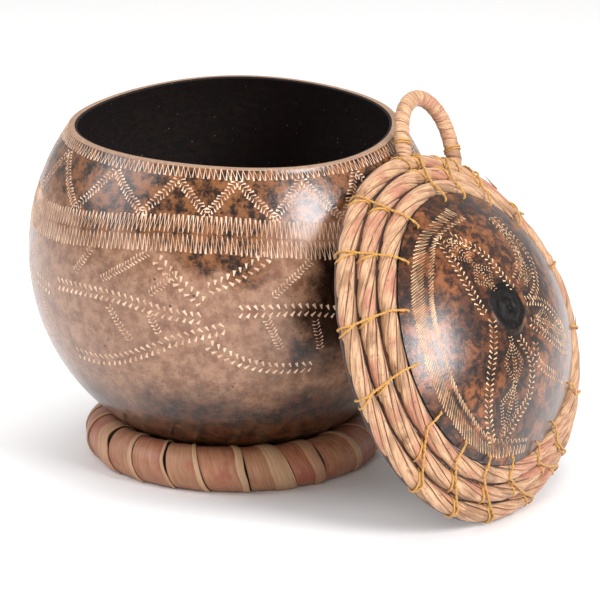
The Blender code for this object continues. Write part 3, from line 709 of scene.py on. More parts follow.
# Rows across a strip: its part (0 face, 1 folded edge, 2 slit), share across it, metres below the highest
STRIP_ROWS = ([(0, share, 0.0011 - 0.0004 * smooth_step(share))
               for share in (0, 0.15, 0.3, 0.45, 0.6, 0.75, 0.9, 1)]
              + [(1, share, 0.0001 + 0.0003 * (2 * share - 1) ** 4)
                 for share in (0, 0.12, 0.3, 0.5, 0.7, 0.88, 1)]
              + [(2, 0, 0.0008), (2, 0.3, 0.0021), (2, 0.6, 0.0019), (2, 0.85, 0.0014)])
PART_STARTS = (0.0, 0.5, 0.9, 1.0)           # where each part starts on the strip's map
STRIP_DRAWS = random.Random(8)
STRIP_CHANCES = [[STRIP_DRAWS.random() for part in range(4)] for strip in range(RING_WRAPS)]


def strip_parts(number, v):
    """Where a strip, its fold and its slit start and how wide it is, in wraps, at v round the hoop."""
    even = smooth_step(min(v, 1 - v) / 0.12)     # all strips are alike at the map's seam inside the hoop
    starts = []
    for strip in (number, number + 1):
        chance = STRIP_CHANCES[strip % RING_WRAPS]
        sway = 0.36 * (chance[0] - 0.5) + 0.9 * (chance[1] - 0.5) * (v - 0.5)
        starts.append(strip + sway * even)
    _, _, folded, open_slit = STRIP_CHANCES[number % RING_WRAPS]
    fold_width = 0.25 + (0.05 + 0.48 * folded ** 1.1 - 0.25) * even
    ragged = 0.35 + 1.3 * noise.noise(Vector((number * 3.7, v * 6, 0)))
    slit_width = 0.03 + (0.014 + 0.110 * open_slit * max(0.0, ragged) - 0.03) * even
    width = starts[1] - starts[0]
    return starts[0], width * (1 - slit_width - fold_width), width * (1 - slit_width), width


def make_ring(settings):
    rows = len(STRIP_ROWS)

    def place(u, v):
        number, row = divmod(round(u * RING_WRAPS * rows), rows)
        part, share, drop = STRIP_ROWS[row]
        start, *ends = strip_parts(number, v)
        low, high = (0.0, *ends)[part:part + 2]
        angle = 2 * pi * v - 0.75 * pi           # the map's seam lies inside the hoop, out of sight
        turn = 2 * pi / RING_WRAPS * (start + low + (high - low) * share - angle / (2 * pi) - RING_PHASE)
        rough = noise.noise(Vector((cos(turn) * 20, sin(turn) * 20, sin(angle) * 2)))
        tube = RING_TUBE - drop - 0.0002 * (1 + rough)
        radius = RING_RADIUS + tube * cos(angle)
        height = max(0.0, RING_HEIGHT + tube * sin(angle))
        return AXIS.x + radius * cos(turn), AXIS.y + radius * sin(turn), height

    def mark(u, v):
        number, row = divmod(round(u * RING_WRAPS * rows), rows)
        part, share, _ = STRIP_ROWS[row]
        return number + PART_STARTS[part] + (PART_STARTS[part + 1] - PART_STARTS[part]) * share, v

    bm = bmesh.new()
    add_tube(bm, RING_WRAPS * rows, RING_SIDES, place, mark)
    finish_piece("bark_wound_ring", bm, [bark_finish(settings)], ["base_ring"], smooth=38)


# Lid

def scar_relief(x, y):
    """Charred swirl of the stem scar: broad ridges, finer ones on them, and a sunk middle."""
    east, north = x - SCAR_PLACE[0], y - SCAR_PLACE[1]
    away, turn = hypot(east, north) / SCAR_RADIUS, atan2(north, east)
    if away > 1.3:
        return 0.0
    broad = cos(3.4 * away * pi - turn) * 0.6 + 0.4
    fine = 0.22 * cos(15 * away + 3 * turn + 2.0 * noise.noise(Vector((x * 300, y * 300, 0))))
    return 0.0009 * (broad + fine) * (1 - (away / 1.3) ** 2)


def lid_surface(point):
    """A point of the dome's outside over x and y in the lid's frame, in the world, and the way out."""
    x, y = point[0], point[1]
    out = 1 + waves(LID_WAVES, atan2(y, x)) / DOME_EDGE
    sphere = DOME_RADIUS + CAP_WALL / 2
    up = sqrt(max(1e-9, sphere ** 2 - (x / out) ** 2 - (y / out) ** 2))
    way = Vector((x / out, y / out, up)).normalized()
    return Vector((x, y, DOME_CENTRE + up + scar_relief(x / out, y / out))), way


def lid_at(radius, turn):
    """A point of the dome's outside in the lid's frame, from millimetres off its axis and degrees."""
    angle = radians(turn)
    place = radius / 1000
    place += waves(LID_WAVES, angle) * place / DOME_EDGE
    return lid_surface((place * cos(angle), place * sin(angle)))[0]


LID_STEPS = 200
FINE_SPAN = radians(12.5)        # the dome's middle has finer rows, for the scar's relief
FINE_ROWS = 44


def make_lid(settings):
    angles = [FINE_SPAN * row / FINE_ROWS for row in range(FINE_ROWS)]
    angles += [FINE_SPAN + (COIL_SLOPE - FINE_SPAN) * row / 40 for row in range(41)]
    outer, inner = ([(sphere * sin(angle), DOME_CENTRE + sphere * cos(angle)) for angle in chosen]
                    for sphere, chosen in ((DOME_RADIUS + CAP_WALL / 2, angles),
                                           (DOME_RADIUS - CAP_WALL / 2, angles[::3])))
    bm = spin_profile(outer + inner[::-1], LID_STEPS)
    for face in bm.faces:
        middle = face.calc_center_median()
        scar = hypot(middle.x - SCAR_PLACE[0], middle.y - SCAR_PLACE[1]) < SCAR_RADIUS
        inside = hypot(*middle.xy, middle.z - DOME_CENTRE) < DOME_RADIUS + CAP_WALL / 4
        face.material_index = 1 if inside else (2 if scar else 0)
    for vert in bm.verts:
        x, y, z = vert.co
        if hypot(x, y, z - DOME_CENTRE) > DOME_RADIUS:
            z += scar_relief(x, y)
        out = 1 + waves(LID_WAVES, atan2(y, x)) / DOME_EDGE
        vert.co = LID_FRAME @ Vector((x * out, y * out, z))
    finishes = [lid_finish(settings), inside_finish(), char_finish()]
    finish_piece("lacquered_gourd_cap", bm, finishes, ["gourd_lid"])


# Lid engraving in the lid's frame: millimetres off the axis, degrees
LID_BAND_OUTER = ((62.5, 92), (64.0, 120.3), (64.2, 144.3), (63.6, 159.6), (63.2, 173.0), (63.2, 188.0),
                  (64.2, 205.3), (65.6, 222.8), (66.6, 240), (66.8, 262))
LID_BAND_INNER = ((54.0, 86), (55.6, 112.6), (54.4, 129.9), (53.6, 150.1), (53.2, 162.0), (53.0, 175.4),
                  (53.6, 194.2), (55.4, 211.9), (58.8, 233.2), (60.4, 262))
PETAL_LINES = (
    ((57.0, 113.7), (44.9, 124.5), (33.1, 143.3), (26.2, 163.9)),
    ((52.8, 108.0), (36.3, 97.5), (23.6, 92.7), (13.1, 78.7)),
    ((22.0, 169.0), (26.1, 195.9), (38.6, 213.6), (51.3, 224.9), (61.3, 235.2)),
    ((11.5, 229.2), (24.1, 264.6), (38.9, 258.9), (47.5, 248.8), (57.7, 241.7)),
    ((9.2, 35.4), (22.8, 2.1), (33.8, 347.5), (44.6, 338.2), (56.0, 336.0)),
    ((7.2, 317.3), (21.1, 320.2), (43.5, 324.5), (55.0, 331.0)),
    ((17.0, 290.2), (27.1, 280.3), (40.7, 296.5), (56.0, 311.1)),
    ((18.0, 66.0), (29.0, 50.0), (41.0, 52.0), (56.0, 64.0)),
    ((14.0, 20.0), (27.0, 22.0), (43.0, 36.0), (57.0, 60.0)))
LOZENGE_CHAINS = (
    ((14.9, 207.9), (20.8, 226.8), (31.5, 237.4), (36.5, 238.0), (47.7, 238.9), (57.8, 238.5)),
    ((20.0, 124.0), (30.0, 117.0), (42.0, 113.0), (53.0, 111.0)),
    ((11.0, 340.0), (22.0, 337.0), (34.0, 335.0), (50.0, 334.0)),
    ((19.0, 38.0), (30.0, 42.0), (42.0, 50.0), (53.0, 60.0)))
LOZENGE_HALF = 0.0065


def lid_line(points):
    return [lid_at(*point) for point in points]


def make_lid_engraving(settings):
    rng = random.Random(23)
    finish = engraving_finish("graved dark gourd flesh", to_linear("E6C49A"), to_linear("A67C56"))
    width = settings.stroke_width
    outer, inner = lid_line(LID_BAND_OUTER), lid_line(LID_BAND_INNER)

    def corner(part, level):
        part = min(1.0, max(0.0, part))
        return catmull(inner, part) * (1 - level) + catmull(outer, part) * level

    bm = bmesh.new()
    comb_row(bm, lid_surface, lambda part, level: corner(part, 0.42 + 0.58 * level), LID_CUTS[0], rng,
             width * 0.66, True)
    comb_row(bm, lid_surface, lambda part, level: corner(part, 0.26 * level), LID_CUTS[1], rng,
             width * 0.62, False)
    bmesh.ops.transform(bm, matrix=LID_FRAME, verts=bm.verts)
    finish_piece("lid_band_engraving", bm, [finish], [], smooth=80)

    bm = bmesh.new()
    for line in PETAL_LINES:
        wedge_line(bm, lid_surface, lid_line(line), rng, pitch=0.0027, apart=0.0013, length=0.0021,
                   width=width * 1.2)
    for chain in LOZENGE_CHAINS:
        points = lid_line(chain)
        feather_line(bm, lid_surface, points, rng, pitch=0.0017, reach=0.0014, width=width * 0.7)
        for near, far in ((0.10, 0.48), (0.55, 0.92)):
            start, end = catmull(points, near), catmull(points, far)
            side = Vector((-(end - start).y, (end - start).x, 0)).normalized() * LOZENGE_HALF
            for way in (-1, 1):
                bend = (start + end) / 2 + side * way
                for first, last in ((start, bend), (bend, end)):
                    line = [first, (first + last) / 2, last]
                    feather_line(bm, lid_surface, line, rng, pitch=0.0017, reach=0.0011, width=width * 0.65)
    bmesh.ops.transform(bm, matrix=LID_FRAME, verts=bm.verts)
    finish_piece("lid_petal_engraving", bm, [finish], [], smooth=80)


# Coiled rim

def on_slope(outwards, angle, lift):
    """A point on the lid's slope: outwards from the first coil's middle, lifted square to it."""
    radius = COIL_RADIUS + outwards * cos(COIL_SLOPE) + lift * sin(COIL_SLOPE)
    radius += waves(LID_WAVES, angle)
    height = -outwards * sin(COIL_SLOPE) + lift * cos(COIL_SLOPE)
    return Vector((radius * cos(angle), radius * sin(angle), height))


def coil_step_out(turned):
    """How far out of the first turn's line the coil runs after turning so far, in steps."""
    whole, rest = divmod(turned, 2 * pi)
    return whole + smooth_step((rest - (2 * pi - COIL_SHIFT)) / COIL_SHIFT)


def coil_tube(turned, length):
    """Radius of the coil: full, but tapered in at its start and its end."""
    free = COIL_TUBE
    if turned < 0:
        free = COIL_STEP * smooth_step(1 + turned / COIL_SHIFT) - COIL_TUBE - GAP
    elif turned > length - COIL_SHIFT / 2:
        left = (length - turned) / COIL_SHIFT
        free = COIL_STEP * (1 - smooth_step(0.5 - left)) - COIL_TUBE - GAP
    return min(COIL_TUBE, max(0.0008, free))


COIL_STEPS = 900
COIL_STRIPS = 6
# Rows across a leaf strip: share across it and how far it lies below the coil's full radius, in parts of it
LEAF_ROWS = ((0.0, 0.20), (0.08, 0.12), (0.24, 0.04), (0.48, 0.01), (0.72, 0.0), (0.90, 0.02), (0.985, 0.06))


COIL_REACH = 0.08                # the coils' mean distance off the lid's axis
STITCH_PULL = 0.0030             # how far along the coil a stitch pulls it in
STITCH_PINCH = 0.09
CORE_SIDES = 14


def stitch_near(angle, turned):
    """How close the coil is to a stitch there, from 0 to 1."""
    layer = round(min(2.0, max(0.0, turned / (2 * pi))))
    nearest = 0.0
    for inner, outer in STITCHES:
        at = radians(inner + (outer - inner) * layer / 2)
        off = (angle - at + pi) % (2 * pi) - pi
        nearest = max(nearest, exp(-(off * COIL_REACH / STITCH_PULL) ** 2))
    return nearest


def coil_path():
    """Places along the coil's middle, each with its radius, two ways across it and its length so far."""
    length = COIL_TURNS * 2 * pi - COIL_SHIFT / 2
    start = -COIL_SHIFT / 2
    path, travelled, last = [], 0.0, None
    for step in range(COIL_STEPS + 1):
        turned = start + (length - start) * step / COIL_STEPS
        out = max(0.0, min(COIL_TURNS - 1.0, coil_step_out(turned) if turned > 0 else 0.0))
        angle = COIL_START + turned
        point = on_slope(out * COIL_STEP, angle, 0.0)
        up = (on_slope(out * COIL_STEP, angle, 0.001) - point).normalized()
        side = (on_slope(out * COIL_STEP + 0.001, angle, 0.0) - point).normalized()
        travelled += (point - last).length if last else 0.0
        last = point
        pinch = 1 - STITCH_PINCH * stitch_near(angle, turned)
        path.append((point, coil_tube(turned, length) * pinch, up, side, travelled))
    return path


def strip_edge(number, travelled):
    """Where a leaf strip's first edge lies round the coil, in turns: strips swell, narrow and give way."""
    strip = number % COIL_STRIPS
    slow = noise.noise(Vector((travelled * 15, strip * 7.3, 0.5)))
    quick = noise.noise(Vector((travelled * 60, strip * 3.9, 2.5)))
    return (number + 0.62 * slow + 0.10 * quick) / COIL_STRIPS


def make_coil(settings):
    path = coil_path()
    rows = len(LEAF_ROWS)

    def place(u, v):
        point, tube, up, side, travelled = path[round(u * COIL_STEPS)]
        if u < 0.0005 or u > 0.9995:
            return LID_FRAME @ point
        strip, row = divmod(round(v * COIL_STRIPS * rows), rows)
        share, drop = LEAF_ROWS[row]
        low, high = strip_edge(strip, travelled), strip_edge(strip + 1, travelled)
        angle = 2 * pi * (low + (high - low) * share + travelled / settings.twist_pitch)
        strip %= COIL_STRIPS
        lift = 0.05 * noise.noise(Vector((travelled * 28, strip * 2.9, 4.1)))
        crease = 0.05 * noise.noise(Vector((travelled * 40, share * 3.5 + strip * 9, 1.7)))
        radius = tube * min(1.0, 0.96 - drop * (1.0 + 12 * lift) + lift + crease * (0.3 + share) * (1 - share))
        return LID_FRAME @ (point + (up * cos(angle) + side * sin(angle)) * radius)

    def mark(u, v):
        strip, row = divmod(round(v * COIL_STRIPS * rows), rows)
        return strip + LEAF_ROWS[row][0], path[round(u * COIL_STEPS)][4] * 1000

    bm = bmesh.new()
    add_tube(bm, COIL_STEPS, COIL_STRIPS * rows, place, mark)
    finish = leaf_finish("twisted dried leaf", settings.leaf, settings.leaf_dark, settings.leaf_flush, 7)
    finish_piece("twisted_leaf_coils", bm, [finish], ["rim_coil"], smooth=40)


def make_coil_core():
    """The bundle's inner leaves, dark in the gaps between the outer strips."""
    path = coil_path()
    bm = bmesh.new()

    def place(u, v):
        point, tube, up, side, _ = path[round(u * COIL_STEPS)]
        if u < 0.0005 or u > 0.9995:
            return LID_FRAME @ point
        angle = 2 * pi * v
        return LID_FRAME @ (point + up * (cos(angle) * 0.5 * tube) + side * (sin(angle) * 1.05 * tube))

    add_tube(bm, COIL_STEPS, CORE_SIDES, place, lambda u, v: (v * 6, path[round(u * COIL_STEPS)][4] * 1000))
    finish = leaf_finish("shaded inner leaf", to_linear("4A2C18"), to_linear("1E0F08"), to_linear("3A1F13"), 6)
    finish_piece("leaf_coil_core", bm, [finish], [], smooth=60)


LOOSE_LEAVES = 34


def make_loose_leaves():
    """Split ends of leaf that stand off the coils here and there."""
    rng = random.Random(31)
    bm = bmesh.new()
    for _ in range(LOOSE_LEAVES):
        layer, angle = rng.choice((0, 1, 2, 2)), rng.uniform(0, 2 * pi)
        tilt = rng.uniform(-0.4, 0.9)
        low = 0.88 * COIL_TUBE
        start = on_slope(layer * COIL_STEP + low * sin(tilt), angle, low * cos(tilt))
        length = rng.uniform(0.005, 0.011)
        high = low + length * rng.uniform(0.06, 0.20)
        end = on_slope(layer * COIL_STEP + high * sin(tilt), angle + length / 0.085, high * cos(tilt))
        way = end - start
        across = Vector((cos(angle), sin(angle), 0)).cross(way).normalized()
        up = way.cross(across).normalized()
        place = Matrix((across * rng.uniform(0.0005, 0.0011), up * 0.00016, way)).transposed().to_4x4()
        place.translation = (start + end) / 2
        bmesh.ops.create_cone(bm, cap_ends=True, segments=6, radius1=1, radius2=0.12, depth=1, matrix=place)
    layer = bm.loops.layers.uv.new("strip")
    for face in bm.faces:
        for loop in face.loops:
            loop[layer].uv = (0.5 + 0.2 * loop.vert.co.x * 1000 % 1, loop.vert.co.y * 1000)
    bmesh.ops.transform(bm, matrix=LID_FRAME, verts=bm.verts)
    finish = bpy.data.materials["twisted dried leaf"]
    finish_piece("loose_leaf_ends", bm, [finish], [], smooth=60)


# Thread

def hole_place(angle):
    """Middle of a stitch hole in the cap's wall, and the way that it is drilled."""
    lean = COIL_SLOPE - HOLE_INSET / DOME_RADIUS
    radius = DOME_RADIUS * sin(lean) + waves(LID_WAVES, angle) * sin(lean) / sin(COIL_SLOPE)
    place = Vector((radius * cos(angle), radius * sin(angle), DOME_CENTRE + DOME_RADIUS * cos(lean)))
    return place, Vector((sin(lean) * cos(angle), sin(lean) * sin(angle), cos(lean)))


THREAD_DIP = 0.0003              # how far a stitch sinks between two coils


def stitch_route(inner, outer):
    """Closed line of one stitch: up through the cap's hole, over the coils and back beneath."""
    clear = COIL_TUBE + THREAD_RADIUS - 0.0004
    place, way = hole_place(inner)

    def over(part, high):
        dip = THREAD_DIP * sin(pi * max(0.0, part)) ** 2
        return on_slope(part * COIL_STEP, inner + (outer - inner) * max(0.0, part) / 2, high * (clear - dip))

    out = [over(-0.4, 0.96)] + [over(part / 4, 1.0) for part in range(0, 8)]
    for step in range(9):
        turn = pi / 2 - pi * step / 8
        out.append(on_slope(OUTER_COIL + clear * cos(turn), outer, clear * sin(turn)))
    under = [over(part / 4, -1.0) for part in range(7, -1, -1)]
    half = CAP_WALL / 2 + THREAD_RADIUS
    return [place + way * half * 1.4, *out, *under, place - way * half * 1.4, place]


def ring_route(out, clear, angle, sway):
    """Closed line round one coil, so far out on the slope, that sways along the coil by some degrees."""
    return [on_slope(out + clear * cos(turn), angle + radians(sway) * cos(turn), clear * sin(turn))
            for turn in (2 * pi * step / 14 for step in range(14))]


def cross_ways(points, step, plane):
    """The way along a line at one of its points, and two ways across it that keep to a plane."""
    ahead = (points[(step + 1) % len(points)] - points[step - 1]).normalized()
    side = (plane - ahead * plane.dot(ahead)).normalized()
    return ahead, side, ahead.cross(side)


THREAD_STEPS = 110
THREAD_SIDES = 6
THREAD_TWISTS = 22               # turns of the two plies in one stitch
LEG_STEPS = 44


def add_loop_of_thread(bm, route, radius, plies, twists, steps=THREAD_STEPS):
    """A closed thread of a few plies twisted together along a route in the lid's frame."""
    centre = sum(route, Vector()) / len(route)
    count = len(route)
    normal = sum(((route[step] - centre).cross(route[(step + 1) % count] - centre)
                  for step in range(count)), Vector()).normalized()
    points = [catmull(route, step / steps, closed=True) for step in range(steps)]

    def ply(number):
        def place(u, v):
            step = round(u * steps) % steps
            _, side, up = cross_ways(points, step, normal)
            lead = 2 * pi * (number / plies + twists * step / steps)
            shift = radius * 0.5 if plies > 1 else 0.0
            thin = radius * (0.56 if plies > 1 else 1.0)
            middle = points[step] + (side * cos(lead) + up * sin(lead)) * shift
            angle = 2 * pi * v
            return LID_FRAME @ (middle + (side * cos(angle) + up * sin(angle)) * thin)
        return place

    for number in range(plies):
        add_tube(bm, steps, THREAD_SIDES, ply(number))


def make_stitches(settings):
    finish = thread_finish(settings)
    for first in range(0, len(STITCHES), 6):
        bm = bmesh.new()
        chosen = STITCHES[first:first + 6]
        for inner, outer in chosen:
            inner, outer = radians(inner), radians(outer)
            add_loop_of_thread(bm, stitch_route(inner, outer), settings.thickness, 2, THREAD_TWISTS)
            # A second leg round each outer coil leans off the first leg as a V
            for layer in (0, 1):
                at = inner + (outer - inner) * (layer + 0.5) / 2 + radians(1.5)
                route = ring_route((layer + 1) * COIL_STEP, COIL_TUBE - 0.0001, at, 1.9)
                add_loop_of_thread(bm, route, settings.thickness * 0.8, 1, 0, steps=LEG_STEPS)
        nodes = [f"stitch_{first + number:02d}" for number in range(1, len(chosen) + 1)]
        finish_piece(f"thread_stitches_{first // 6 + 1}", bm, [finish], nodes, smooth=80)


# Handle

def handle_route(steps):
    """Middle line of the loop from one root to the other, in the outer turn's plane."""
    left, right = (on_slope(OUTER_COIL, radians(angle), 0.0) for angle in HANDLE_FEET)
    across = (right - left).normalized()
    middle = (left + right) / 2
    up = Vector((middle.x, middle.y, 0)).normalized()
    half = (right - left).length / 2
    sunk = COIL_TUBE - HANDLE_SOCKET_DEPTH + GAP
    top = COIL_TUBE + HANDLE_RISE
    points = []
    for step in range(steps + 1):
        angle = pi * step / steps
        wide = half * (1.0 - 0.10 * sin(angle) ** 6)
        high = sunk + (top - sunk) * sin(angle) ** 0.62
        points.append(middle - across * (wide * cos(angle) * (1 - 0.05 * sin(angle))) + up * high)
    return points


HANDLE_STEPS = 300
HANDLE_SIDES = 32
HANDLE_SEAM = pi / 2             # turns the map's seam to the loop's inner side


def make_handle(settings):
    raw = handle_route(HANDLE_STEPS * 4)
    lengths = [0.0]
    for back, front in zip(raw, raw[1:]):
        lengths.append(lengths[-1] + (front - back).length)
    total, points, at = lengths[-1], [], 0
    for step in range(HANDLE_STEPS + 1):
        while at < len(raw) - 2 and lengths[at + 1] < total * step / HANDLE_STEPS:
            at += 1
        share = (total * step / HANDLE_STEPS - lengths[at]) / (lengths[at + 1] - lengths[at])
        points.append(raw[at].lerp(raw[at + 1], min(1.0, max(0.0, share))))
    plane = (points[HANDLE_STEPS // 2] - points[0]).cross(points[-1] - points[0]).normalized()

    def phase_at(step, v):
        along = total * step / HANDLE_STEPS
        return along / settings.strip_width + v + 0.12 * noise.noise(Vector((along * 60, cos(2 * pi * v), 0)))

    def place(u, v):
        step = round(u * HANDLE_STEPS)
        if step in (0, HANDLE_STEPS):
            return LID_FRAME @ points[step]
        _, side, up = cross_ways(points, step, plane)
        along = total * step / HANDLE_STEPS
        swell = smooth_step(min(along, total - along) / HANDLE_NECK)
        radius = HANDLE_ROOT + (HANDLE_TUBE - HANDLE_ROOT) * swell
        strip = phase_at(step, v) % 1.0
        drop = 0.0002 * (1 - smooth_step(strip / 0.85)) + 0.0004 * smooth_step((strip - 0.9) / 0.05)
        angle = 2 * pi * v + HANDLE_SEAM
        flat = 1 - 0.05 * cos(2 * angle)
        return LID_FRAME @ (points[step] + (side * cos(angle) + up * sin(angle)) * ((radius - drop) * flat))

    def mark(u, v):
        step = round(u * HANDLE_STEPS)
        return phase_at(step, v), v * 25

    bm = bmesh.new()
    add_tube(bm, HANDLE_STEPS, HANDLE_SIDES, place, mark)
    finish = leaf_finish("leaf strip wound on the handle", settings.leaf, settings.leaf_dark,
                         settings.leaf_flush, 7)
    finish_piece("wound_leaf_handle", bm, [finish], ["handle_loop"], smooth=50)
    make_bindings(points, plane, total, bpy.data.materials["waxed golden fibre thread"])


def make_bindings(points, plane, total, finish):
    """Thread turned round the outer coil and each leg's foot, which holds the handle on."""
    bm = bmesh.new()
    for end, foot_angle in ((0, HANDLE_FEET[0]), (HANDLE_STEPS, HANDLE_FEET[1])):
        for shift in (-3.6, 3.6):
            route = ring_route(OUTER_COIL, COIL_TUBE + 0.0003, radians(foot_angle + shift), 1.4)
            add_loop_of_thread(bm, route, 0.0005, 2, 8, steps=64)
        for height in (0.0102, 0.0114):
            step = round(height / total * HANDLE_STEPS)
            step = step if end == 0 else HANDLE_STEPS - step
            ahead, side, up = cross_ways(points, step, plane)
            route = [points[step] + (side * cos(turn) + up * sin(turn)) * (HANDLE_TUBE + 0.0002)
                     + ahead * (0.0006 * cos(turn)) for turn in (2 * pi * number / 12 for number in range(12))]
            add_loop_of_thread(bm, route, 0.0004, 1, 0, steps=48)
    finish_piece("handle_bindings", bm, [finish], [], smooth=80)


# Stage

def add_light(name, place, aim, size, power, colour, shines=True):
    """A soft square light at a place, turned towards its aim; one that doesn't shine leaves no highlight."""
    lamp = bpy.data.lights.new(name, "AREA")
    lamp.shape = "SQUARE"
    lamp.size = size
    lamp.energy = power
    lamp.color = to_linear(colour)[:3]
    light = bpy.data.objects.new(name, lamp)
    light.location = place
    light.visible_glossy = shines
    light.rotation_euler = (Vector(aim) - Vector(place)).to_track_quat("-Z", "Y").to_euler()
    bpy.context.scene.collection.objects.link(light)


def make_stage(settings):
    bm = bmesh.new()
    bmesh.ops.create_grid(bm, x_segments=1, y_segments=1, size=6)
    bmesh.ops.translate(bm, verts=bm.verts, vec=(0, 3, -0.0002))
    mesh = bpy.data.meshes.new("pale_floor")
    bm.to_mesh(mesh)
    bm.free()
    mesh.materials.append(floor_finish())
    ground = bpy.data.objects.new("pale_floor", mesh)
    bpy.context.scene.collection.objects.link(ground)

    middle = (0.0, 0.0, 0.09)
    add_light("key_right", (1.05, -0.95, 0.85), middle, 0.60, 23, "FCFBFF")
    add_light("fill_front", (-0.22, -1.6, 0.75), middle, 0.9, 8, "FFFFFF", shines=False)
    add_light("edge_left", (-1.2, -0.2, 0.9), middle, 0.9, 9, "F6F8FF")
    add_light("top_soft", (0.0, 0.3, 1.6), middle, 1.4, 19, "FFFFFF", shines=False)

    world = bpy.data.worlds.new("white studio")
    world.use_nodes = True
    plug(world.node_tree.nodes["Background"], {"Color": to_linear("FFFFFF"), "Strength": settings.surround})
    bpy.context.scene.world = world
    bpy.context.scene.view_settings.view_transform = "Standard"

    lens = bpy.data.cameras.new("front camera")
    lens.lens = CAMERA_LENS
    lens.sensor_width = 36
    lens.clip_start = 0.05
    camera = bpy.data.objects.new("front camera", lens)
    camera.location = CAMERA_TARGET + CAMERA_DISTANCE * Vector((0, -cos(CAMERA_DOWN), sin(CAMERA_DOWN)))
    camera.rotation_euler = (CAMERA_TARGET - camera.location).to_track_quat("-Z", "Y").to_euler()
    bpy.context.scene.collection.objects.link(camera)
    bpy.context.scene.camera = camera


SWATCH = {"size": 4, "min": 0, "max": 1, "subtype": "COLOR"}


class GourdSettings(bpy.types.PropertyGroup):
    lacquer: bpy.props.FloatProperty(
        name="Lacquer", description="How much clear lacquer the gourd carries",
        default=0.85, min=0, max=1, subtype="FACTOR")
    stroke_width: bpy.props.FloatProperty(
        name="Graver width", description="Width of an engraved cut",
        default=0.00085, min=0.0003, max=0.002, unit="LENGTH")
    skin: bpy.props.FloatVectorProperty(
        name="Skin", description="Colour of the bowl's bare skin", default=to_linear("A0795F"), **SWATCH)
    skin_dark: bpy.props.FloatVectorProperty(
        name="Skin grain", description="Colour of the skin's darker grain",
        default=to_linear("79523C"), **SWATCH)
    smoke: bpy.props.FloatVectorProperty(
        name="Smoked skin", description="Lightest colour of the smoked zones",
        default=to_linear("80502C"), **SWATCH)
    ember: bpy.props.FloatVectorProperty(
        name="Lid mottles", description="Colour of the lid's warm spots", default=to_linear("87502B"), **SWATCH)
    flesh: bpy.props.FloatVectorProperty(
        name="Cut flesh", description="Colour of the engraved cuts", default=to_linear("ECCDB2"), **SWATCH)


class BasketSettings(bpy.types.PropertyGroup):
    twist_pitch: bpy.props.FloatProperty(
        name="Twist", description="Length of coil in which its leaves turn once",
        default=0.115, min=0.03, max=1, unit="LENGTH")
    strip_width: bpy.props.FloatProperty(
        name="Handle strip", description="Width of the strip wound on the handle",
        default=HANDLE_WRAP, min=0.002, max=0.02, unit="LENGTH")
    thickness: bpy.props.FloatProperty(
        name="Thread", description="Radius of the twisted thread",
        default=THREAD_RADIUS * 1.1, min=0.0003, max=0.001, unit="LENGTH")
    bark: bpy.props.FloatVectorProperty(
        name="Bark", description="Colour of the ring's bark strips", default=to_linear("B87C5E"), **SWATCH)
    leaf: bpy.props.FloatVectorProperty(
        name="Leaf", description="Colour of the dried leaf", default=to_linear("DBB189"), **SWATCH)
    leaf_dark: bpy.props.FloatVectorProperty(
        name="Leaf fibres", description="Colour between the leaf's fibres",
        default=to_linear("8A5B3A"), **SWATCH)
    leaf_flush: bpy.props.FloatVectorProperty(
        name="Leaf flush", description="Colour of the leaf's pink streaks",
        default=to_linear("C98F70"), **SWATCH)
    thread: bpy.props.FloatVectorProperty(
        name="Thread colour", description="Colour of the waxed thread", default=to_linear("DDA748"), **SWATCH)


class StageSettings(bpy.types.PropertyGroup):
    surround: bpy.props.FloatProperty(
        name="Surround", description="Brightness of the white studio", default=0.42, min=0, max=3)


class GOURD_OT_stage(bpy.types.Operator):
    """Make the pale floor, the soft lights and the camera"""
    bl_idname = "gourd.stage"
    bl_label = "Stage"

    def execute(self, context):
        make_stage(context.scene.gourd_stage)
        return {"FINISHED"}


class GOURD_OT_bowl(bpy.types.Operator):
    """Make the lacquered gourd shell with its sawn edge and dark inside"""
    bl_idname = "gourd.bowl"
    bl_label = "Gourd shell"

    def execute(self, context):
        make_bowl(context.scene.gourd_shell)
        return {"FINISHED"}


class GOURD_OT_bowl_engraving(bpy.types.Operator):
    """Make the engraved bands, chevrons and leaves on the bowl"""
    bl_idname = "gourd.bowl_engraving"
    bl_label = "Bowl engraving"

    def execute(self, context):
        make_bowl_engraving(context.scene.gourd_shell)
        return {"FINISHED"}


class GOURD_OT_ring(bpy.types.Operator):
    """Make the ring wound with bark strips"""
    bl_idname = "gourd.ring"
    bl_label = "Bark ring"

    def execute(self, context):
        make_ring(context.scene.gourd_basket)
        return {"FINISHED"}


class GOURD_OT_lid(bpy.types.Operator):
    """Make the lid's gourd cap with its stem scar"""
    bl_idname = "gourd.lid"
    bl_label = "Gourd cap"

    def execute(self, context):
        make_lid(context.scene.gourd_shell)
        return {"FINISHED"}


class GOURD_OT_lid_engraving(bpy.types.Operator):
    """Make the engraved band and petals on the lid"""
    bl_idname = "gourd.lid_engraving"
    bl_label = "Lid engraving"

    def execute(self, context):
        make_lid_engraving(context.scene.gourd_shell)
        return {"FINISHED"}


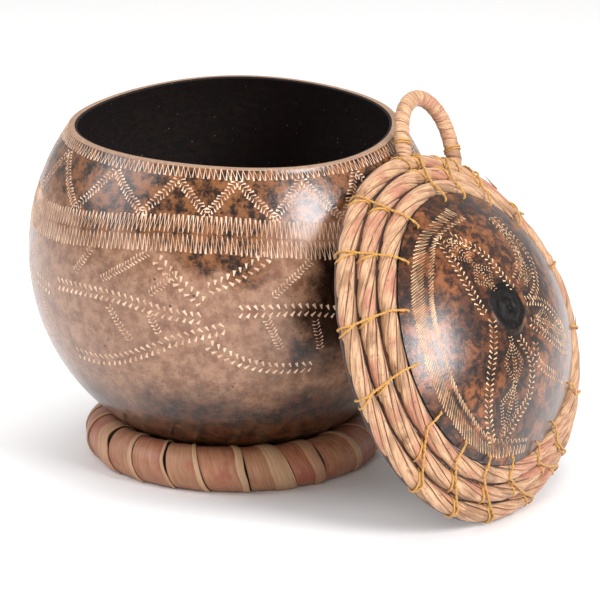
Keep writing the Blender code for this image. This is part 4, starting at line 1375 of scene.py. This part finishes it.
class GOURD_OT_coil(bpy.types.Operator):
    """Make the three turns of twisted leaf round the lid"""
    bl_idname = "gourd.coil"
    bl_label = "Leaf coils"

    def execute(self, context):
        make_coil(context.scene.gourd_basket)
        make_coil_core()
        make_loose_leaves()
        return {"FINISHED"}


class GOURD_OT_thread(bpy.types.Operator):
    """Make the golden thread stitches over the coils"""
    bl_idname = "gourd.thread"
    bl_label = "Thread stitches"

    def execute(self, context):
        make_stitches(context.scene.gourd_basket)
        return {"FINISHED"}


class GOURD_OT_handle(bpy.types.Operator):
    """Make the wound loop handle and its bindings"""
    bl_idname = "gourd.handle"
    bl_label = "Loop handle"

    def execute(self, context):
        make_handle(context.scene.gourd_basket)
        return {"FINISHED"}


PIECES = (GOURD_OT_stage, GOURD_OT_bowl, GOURD_OT_bowl_engraving, GOURD_OT_ring, GOURD_OT_lid,
          GOURD_OT_lid_engraving, GOURD_OT_coil, GOURD_OT_thread, GOURD_OT_handle)


class GOURD_PT_pieces(bpy.types.Panel):
    """Buttons for the container's pieces, in the order that they are made"""
    bl_idname = "GOURD_PT_pieces"
    bl_label = "Gourd bowl"
    bl_space_type = "VIEW_3D"
    bl_region_type = "UI"
    bl_category = "Gourd bowl"

    def draw(self, context):
        for sizes in (context.scene.gourd_shell, context.scene.gourd_basket, context.scene.gourd_stage):
            for setting in sizes.__annotations__:
                self.layout.prop(sizes, setting)
        for piece in PIECES:
            self.layout.operator(piece.bl_idname)


CLASSES = (GourdSettings, BasketSettings, StageSettings, *PIECES, GOURD_PT_pieces)


def register():
    for made in CLASSES:
        bpy.utils.register_class(made)
    bpy.types.Scene.gourd_shell = bpy.props.PointerProperty(type=GourdSettings)
    bpy.types.Scene.gourd_basket = bpy.props.PointerProperty(type=BasketSettings)
    bpy.types.Scene.gourd_stage = bpy.props.PointerProperty(type=StageSettings)


def unregister():
    del bpy.types.Scene.gourd_stage
    del bpy.types.Scene.gourd_basket
    del bpy.types.Scene.gourd_shell
    for made in reversed(CLASSES):
        bpy.utils.unregister_class(made)


def main():
    register()
    for piece in PIECES:
        group, name = piece.bl_idname.split(".")
        getattr(getattr(bpy.ops, group), name)()


if __name__ == "__main__":
    main()
